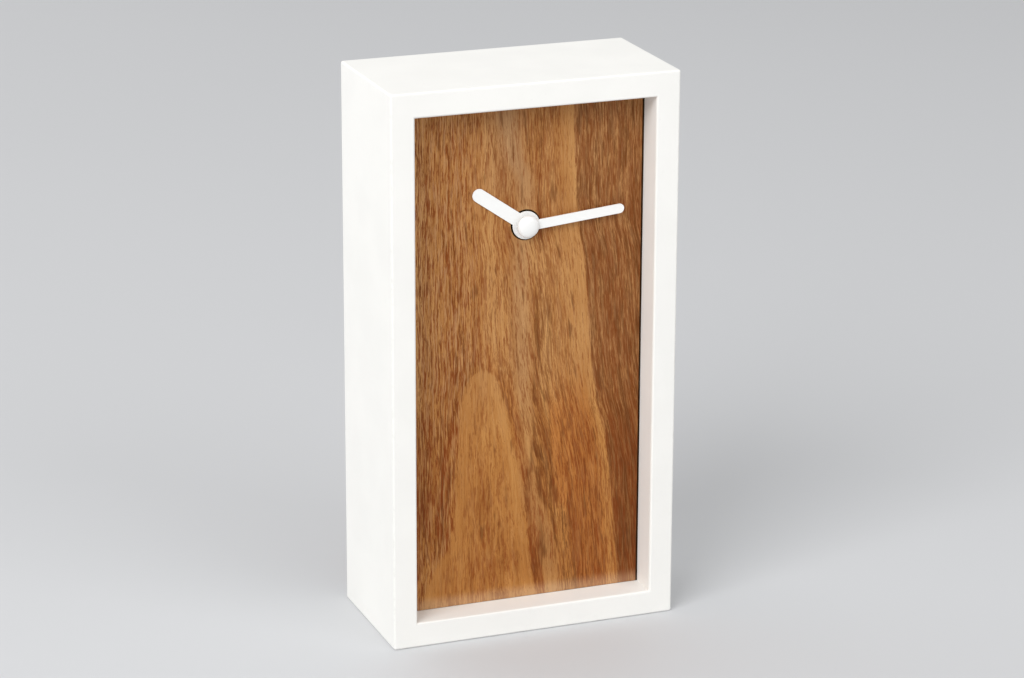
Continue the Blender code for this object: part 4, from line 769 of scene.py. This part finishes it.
class DESKCLOCK_OT_hands(bpy.types.Operator):
    """Builds the two white hands and the cap on the hub"""
    bl_idname = "desk_clock.hands"
    bl_label = "Hands and cap"

    def execute(self, context):
        settings = context.scene.desk_clock_hands
        enamel = tuple(settings.enamel)
        glossy = {"specks": 0.06, "variation": 0.02, "coat": 0.2}
        material = coated("hand_enamel_white", enamel, 0.36, 0.35, 6, **glossy)[0]
        radius = settings.edge_radius
        hour = copy_of("hour_hand")
        round_rims(hour, radius, 2)
        piece("hour_hand_white", hour, "hour_arbor", "hand_enamel", material, "hour_hand")
        minute = copy_of("minute_hand")
        round_rims(minute, radius, 2)
        piece("minute_hand_white", minute, "minute_arbor", "hand_enamel", material, "minute_hand")
        low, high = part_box("centre_cap")
        wide = (high.x - low.x) / 2
        tall = high.y - low.y
        rim, rise = 0.5 * MILLIMETRE, 1.4 * MILLIMETRE
        dome = [(wide * math.sin(turn), tall - rim - rise * math.cos(turn))
                for turn in (math.radians(step * 9) for step in range(11))]
        socket = wide / 2
        socket_top = tall * 0.45
        profile = dome + [(wide, tall), (socket, tall), (socket, socket_top), (0, socket_top)]
        hub = middle("centre_cap")
        cap = spun(profile, (hub.x, low.y, hub.z), CAP_STEPS)
        cap_finish = coated("cap_enamel_white", shaded(enamel, 0.98), 0.34, 0.4, 6, **glossy)[0]
        piece("centre_cap_white", cap, "minute_arbor", "hand_enamel", cap_finish, "centre_cap")
        return {"FINISHED"}


# Movement housing and setting knob

class DESKCLOCK_OT_housing(bpy.types.Operator):
    """Builds the moulded rear cover and the ribbed setting knob, and finishes the front plate"""
    bl_idname = "desk_clock.housing"
    bl_label = "Housing and knob"

    def execute(self, context):
        settings = context.scene.desk_clock_movement
        plastic = tuple(settings.plastic)
        low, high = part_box("movement_rear_cover")
        rubbed = shaded(plastic, 2.2)
        edges = ((low + high) / 2, (high - low) / 2, 0.0012, rubbed, 0.6)
        material = coated("housing_plastic", plastic, 0.46, 0.16, 20, edges, specks=0.2, variation=0.25)[0]
        cover = copy_of("movement_rear_cover")
        round_rims(cover, settings.edge_radius, 2)
        piece("rear_cover_moulding", cover, "case", "black_plastic", material, "movement_rear_cover")
        even = {"specks": 0.2, "variation": 0.2}
        knob_material = coated("knob_plastic", shaded(plastic, 1.3), 0.40, 0.12, 12, **even)[0]
        knob = copy_of("setting_knob")
        round_rims(knob, settings.edge_radius * 0.6, 2)
        piece("setting_knob_ribbed", knob, "setting", "black_plastic", knob_material, "setting_knob")
        finish_nodes(coated("plate_plastic", plastic, 0.44, 0.2, 15, **even)[0], "movement_front_plate")
        finish_nodes(coated("bobbin_plastic", shaded(plastic, 1.6), 0.4, 0.2, 10, **even)[0], "coil_bobbin")
        return {"FINISHED"}


# Battery and contacts

class DESKCLOCK_OT_battery(bpy.types.Operator):
    """Builds the cell with its steel can and its film sleeve, and finishes the contacts"""
    bl_idname = "desk_clock.battery"
    bl_label = "Battery and contacts"

    def execute(self, context):
        settings = context.scene.desk_clock_movement
        low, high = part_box("battery")
        centre = (low + high) / 2
        radius = (high.y - low.y) / 2
        mm = MILLIMETRE
        length = high.x - low.x
        shoulder = length - 1.4 * mm
        can = radius - 0.12 * mm
        # Outline of the can from its flat end to the raised contact
        profile = [(0, 0), (4.4 * mm, 0), (4.6 * mm, 0.2 * mm), (can - 0.9 * mm, 0.35 * mm),
                   (can - 0.3 * mm, 0.55 * mm), (can, 1.0 * mm), (can, shoulder - 1.0 * mm),
                   (can - 0.3 * mm, shoulder - 0.5 * mm), (can - 0.9 * mm, shoulder - 0.3 * mm),
                   (4.6 * mm, shoulder - 0.3 * mm), (4.4 * mm, shoulder), (2.75 * mm, shoulder),
                   (2.6 * mm, length - 0.2 * mm), (2.4 * mm, length), (0, length)]
        lay = Matrix.Rotation(math.radians(-90), 4, "Z")
        place_in_bay = Matrix.Translation((low.x, centre.y, centre.z)) @ lay
        shell = spun(profile, (0, 0, 0), settings.round_steps)
        bmesh.ops.transform(shell, matrix=place_in_bay, verts=shell.verts)
        steel = metal("cell_steel", linear(188, 188, 186), linear(150, 148, 142), 0.3)
        piece("battery_can", shell, "battery_cell", "steel", steel, "battery")
        start, end = 0.45 * mm, shoulder - 0.25 * mm
        lip, inner = can - 1.25 * mm, radius - 0.6 * mm
        half = [(can - 1.3 * mm, 0.02 * mm), (lip, -0.1 * mm), (radius - 0.5 * mm, 0),
                (radius - 0.12 * mm, 0.25 * mm), (radius, 0.7 * mm)]
        sleeve_profile = [(out, start + along) for out, along in half]
        sleeve_profile += [(out, end - along) for out, along in reversed(half)]
        sleeve_profile += [(inner, end - 0.1 * mm), (inner, start + 0.1 * mm), sleeve_profile[0]]
        sleeve = spun(sleeve_profile, (0, 0, 0), settings.round_steps)
        bmesh.ops.transform(sleeve, matrix=place_in_bay, verts=sleeve.verts)
        material, graph, shader, place, finish, gloss = coated(
            "sleeve_film", tuple(settings.sleeve), 0.32, 0.5, 8, specks=0.15, variation=0.1, coat=0.4)
        x, y, z = graph.split(place)
        angle = graph.math("ARCTAN2", graph.add(z, -centre.z), graph.add(y, -centre.y))
        seam = graph.between(angle, 0.62, 0.66, 0.008)
        near_end = graph.math("MAXIMUM", graph.ramp(x, low.x + 0.004, low.x + 0.0015),
                              graph.ramp(x, high.x - 0.006, high.x - 0.003))
        wrinkles = graph.noise(graph.join(graph.times(x, 250), graph.times(angle, 9.0), 0.0), 1.0, 2.0)
        height = graph.add(graph.times(seam, 0.8), graph.times(wrinkles, near_end))
        darker = shaded(settings.sleeve, 0.6)
        graph.fill(shader.inputs, Base_Color=graph.mix(graph.times(seam, 0.7), finish, darker),
                   Normal=graph.bump(height, 60 * MICROMETRE, 0.8))
        piece("battery_film_sleeve", sleeve, "battery_cell", "battery_sleeve", material)
        finish_nodes(metal("contact_plate", linear(206, 198, 172), linear(166, 150, 110), 0.28),
                     "positive_contact", "negative_contact")
        return {"FINISHED"}


# Fixings in the dial

class DESKCLOCK_OT_fixings(bpy.types.Operator):
    """Finishes the nut, washer and gasket that clamp the movement to the dial"""
    bl_idname = "desk_clock.fixings"
    bl_label = "Nut, washer and gasket"

    def execute(self, context):
        centre = tuple(middle("mounting_nut"))
        # Painted shade: the nut is blackened brass, kept dark so the thin ring of the pocket round the hub
        # reads as shade
        finish_nodes(metal("nut_blackened_brass", linear(96, 78, 48), linear(52, 44, 34), 0.4, centre),
                     "mounting_nut")
        finish_nodes(metal("washer_steel", linear(176, 178, 180), linear(140, 138, 132), 0.35, centre),
                     "mounting_washer")
        finish_nodes(coated("gasket_rubber", linear(40, 40, 40), 0.8, 0.25, 30, specks=0.4, variation=0.3)[0],
                     "rubber_gasket")
        return {"FINISHED"}


# Wheels, motor and electronics

def nylon(name, centre):
    """Off-white moulded nylon, its gate marks and rings about the wheel's own axis."""
    material, graph, shader, place, finish, gloss = coated(
        name, linear(226, 223, 212), 0.42, 0.3, 8, specks=0.15, variation=0.06)
    rings = use(graph, shared("Turning marks", turning_marks), Vector=place, Centre=centre, Pitch=0.5)
    graph.fill(shader.inputs, Roughness=graph.weighted(gloss, (rings["Rings"], 0.08)),
               Subsurface_Weight=0.15, Subsurface_Scale=0.001)
    return material


class DESKCLOCK_OT_train(bpy.types.Operator):
    """Finishes the wheels, pinions, pipe and bridge of the movement"""
    bl_idname = "desk_clock.train"
    bl_label = "Wheels and bridge"

    def execute(self, context):
        for name in ("centre_wheel", "hour_wheel", "intermediate_wheel", "minute_pipe", "motion_wheel",
                     "rotor_pinion", "second_wheel", "setting_pinion", "third_wheel", "train_bridge"):
            finish_nodes(nylon(name + "_nylon", tuple(middle(name))), name)
        return {"FINISHED"}


class DESKCLOCK_OT_motor(bpy.types.Operator):
    """Finishes the stator, core, winding and magnet of the stepping motor"""
    bl_idname = "desk_clock.motor"
    bl_label = "Stepping motor"

    def execute(self, context):
        finish_nodes(metal("lamination_steel", linear(170, 172, 174), linear(128, 126, 122), 0.34),
                     "stator_plate", "coil_core")
        finish_nodes(metal("magnet_ferrite", linear(74, 74, 78), linear(52, 52, 56), 0.45,
                           tuple(middle("rotor_magnet"))), "rotor_magnet")
        material, graph, shader, place = new_material("enamelled_winding")
        x, y, z = graph.split(place)
        wander = graph.noise(graph.millimetres(place), 0.5, 2.0)
        along = graph.times(x, 2 * math.pi / WIRE_PITCH)
        turns = graph.math("SINE", graph.weighted(along, (wander, 3.0)))
        # Painted light and shade: each turn of wire lighter on its crown and darker in the crease between
        # turns
        shade = graph.ramp(turns, -1.0, 1.0)
        colour = graph.mix(shade, linear(104, 44, 20), linear(204, 112, 62))
        finish = graph.mix(graph.times(wander, 0.4), colour, linear(150, 70, 36))
        graph.fill(shader.inputs, Base_Color=finish, Roughness=graph.ramp(wander, 0.2, 0.8, 0.25, 0.42),
                   Normal=graph.bump(turns, 30 * MICROMETRE), Metallic=0.8, Coat_Weight=0.5)
        finish_nodes(material, "coil_winding")
        return {"FINISHED"}


class DESKCLOCK_OT_electronics(bpy.types.Operator):
    """Finishes the circuit board, the chip under its drop and the crystal"""
    bl_idname = "desk_clock.electronics"
    bl_label = "Circuit board"

    def execute(self, context):
        material, graph, shader, place, finish, gloss = coated(
            "board_solder_mask", linear(52, 104, 62), 0.38, 0.25, 8, specks=0.2, variation=0.12, coat=0.2)
        x, y, z = graph.split(place)
        tracks = graph.node("TexBrick", graph.join(graph.times(x, 1000), graph.times(z, 1000), 0.0),
                            offset=0.35, offset_frequency=2)
        graph.fill(tracks.inputs, Scale=0.55, Mortar_Size=0.09, Mortar_Smooth=0.2, Brick_Width=1.3,
                   Row_Height=0.55, Color1=(0, 0, 0), Color2=(0, 0, 0), Mortar=(1, 1, 1))
        copper = graph.node("RGBToBW", tracks.outputs["Color"]).outputs[0]
        finish = graph.mix(graph.times(copper, 0.6), finish, linear(96, 148, 84))
        graph.fill(shader.inputs, Base_Color=finish, Normal=graph.bump(copper, 30 * MICROMETRE))
        finish_nodes(material, "circuit_board")
        chip = coated("chip_epoxy", linear(24, 24, 26), 0.24, 0.8, 30, specks=0.2, variation=0.3, coat=0.3)[0]
        finish_nodes(chip, "timing_chip")
        finish_nodes(metal("crystal_can", linear(196, 196, 192), linear(160, 158, 150), 0.22),
                     "quartz_crystal")
        return {"FINISHED"}


# Stage

def area_lamp(name, place, size, power):
    """Soft square lamp that faces the clock."""
    data = bpy.data.lights.new(name, "AREA")
    data.size = size
    data.energy = power
    lamp = bpy.data.objects.new(name, data)
    lamp.location = place
    lamp.rotation_euler = (Vector(LAMP_TARGET) - Vector(place)).to_track_quat("-Z", "Y").to_euler()
    bpy.context.scene.collection.objects.link(lamp)


class DESKCLOCK_OT_stage(bpy.types.Operator):
    """Sets the floor, the soft lamps and the camera"""
    bl_idname = "desk_clock.stage"
    bl_label = "Stage"

    def execute(self, context):
        settings = context.scene.desk_clock_stage
        shape = bmesh.new()
        bmesh.ops.create_circle(shape, cap_ends=True, radius=FLOOR_RADIUS, segments=96)
        mesh = bpy.data.meshes.new("studio_floor")
        shape.to_mesh(mesh)
        shape.free()
        floor = bpy.data.objects.new("studio_floor", mesh)
        context.scene.collection.objects.link(floor)
        material, graph, shader, place = new_material("floor_card")
        cloud = graph.noise(place, 1.5, 2.0)
        tone = graph.ramp(cloud, 0.3, 0.7, 0.985, 1.0)
        graph.fill(shader.inputs, Base_Color=graph.tinted(settings.floor, graph.grey(tone)), Roughness=0.6)
        mesh.materials.append(material)

        world = bpy.data.worlds.new("studio_air")
        world.use_nodes = True
        context.scene.world = world
        air = Graph(world.node_tree)
        background = world.node_tree.nodes["Background"]
        ray = air.node("LightPath").outputs
        seen = air.math("MAXIMUM", ray["Is Camera Ray"], ray["Is Glossy Ray"])
        strength = air.node("MapRange", seen, 0.0, 1.0, settings.ambient, 1.0).outputs[0]
        air.fill(background.inputs, Color=air.mix(seen, (1, 1, 1), settings.floor), Strength=strength)

        for name, place, size in LAMPS:
            area_lamp(name + "_lamp", place, size, getattr(settings, name + "_power"))

        data = bpy.data.cameras.new("studio_camera")
        data.lens = settings.lens
        data.sensor_width = 36.0
        data.sensor_fit = "HORIZONTAL"
        camera = bpy.data.objects.new("studio_camera", data)
        camera.location = CAMERA_PLACE
        sight = Vector(CAMERA_TARGET) - Vector(CAMERA_PLACE)
        turn = sight.to_track_quat("-Z", "Y") @ Quaternion((0, 0, 1), CAMERA_ROLL)
        camera.rotation_euler = turn.to_euler()
        context.scene.collection.objects.link(camera)
        context.scene.camera = camera
        context.scene.view_settings.view_transform = "Standard"
        return {"FINISHED"}


# Panel

OPERATORS = (DESKCLOCK_OT_case, DESKCLOCK_OT_dial, DESKCLOCK_OT_hands, DESKCLOCK_OT_housing,
             DESKCLOCK_OT_battery, DESKCLOCK_OT_fixings, DESKCLOCK_OT_train, DESKCLOCK_OT_motor,
             DESKCLOCK_OT_electronics, DESKCLOCK_OT_stage)
SETTINGS = (("desk_clock_case", CaseSettings), ("desk_clock_dial", DialSettings),
            ("desk_clock_hands", HandSettings), ("desk_clock_movement", MovementSettings),
            ("desk_clock_stage", StageSettings))


class DESKCLOCK_PT_panel(bpy.types.Panel):
    """Steps and settings of the desk clock"""
    bl_label = "Desk clock"
    bl_idname = "DESKCLOCK_PT_panel"
    bl_space_type = "VIEW_3D"
    bl_region_type = "UI"
    bl_category = "Desk clock"

    def draw(self, context):
        for operator in OPERATORS:
            self.layout.operator(operator.bl_idname)
        for name, group in SETTINGS:
            box = self.layout.box()
            for label in group.__annotations__:
                box.prop(getattr(context.scene, name), label)


def register():
    for name, group in SETTINGS:
        bpy.utils.register_class(group)
        setattr(bpy.types.Scene, name, PointerProperty(type=group))
    for operator in OPERATORS:
        bpy.utils.register_class(operator)
    bpy.utils.register_class(DESKCLOCK_PT_panel)


def unregister():
    bpy.utils.unregister_class(DESKCLOCK_PT_panel)
    for operator in reversed(OPERATORS):
        bpy.utils.unregister_class(operator)
    for name, group in reversed(SETTINGS):
        delattr(bpy.types.Scene, name)
        bpy.utils.unregister_class(group)


def main():
    register()
    bpy.ops.desk_clock.stage()
    bpy.ops.desk_clock.case()
    bpy.ops.desk_clock.dial()
    bpy.ops.desk_clock.hands()
    bpy.ops.desk_clock.housing()
    bpy.ops.desk_clock.battery()
    bpy.ops.desk_clock.fixings()
    bpy.ops.desk_clock.train()
    bpy.ops.desk_clock.motor()
    bpy.ops.desk_clock.electronics()


if __name__ == "__main__":
    main()
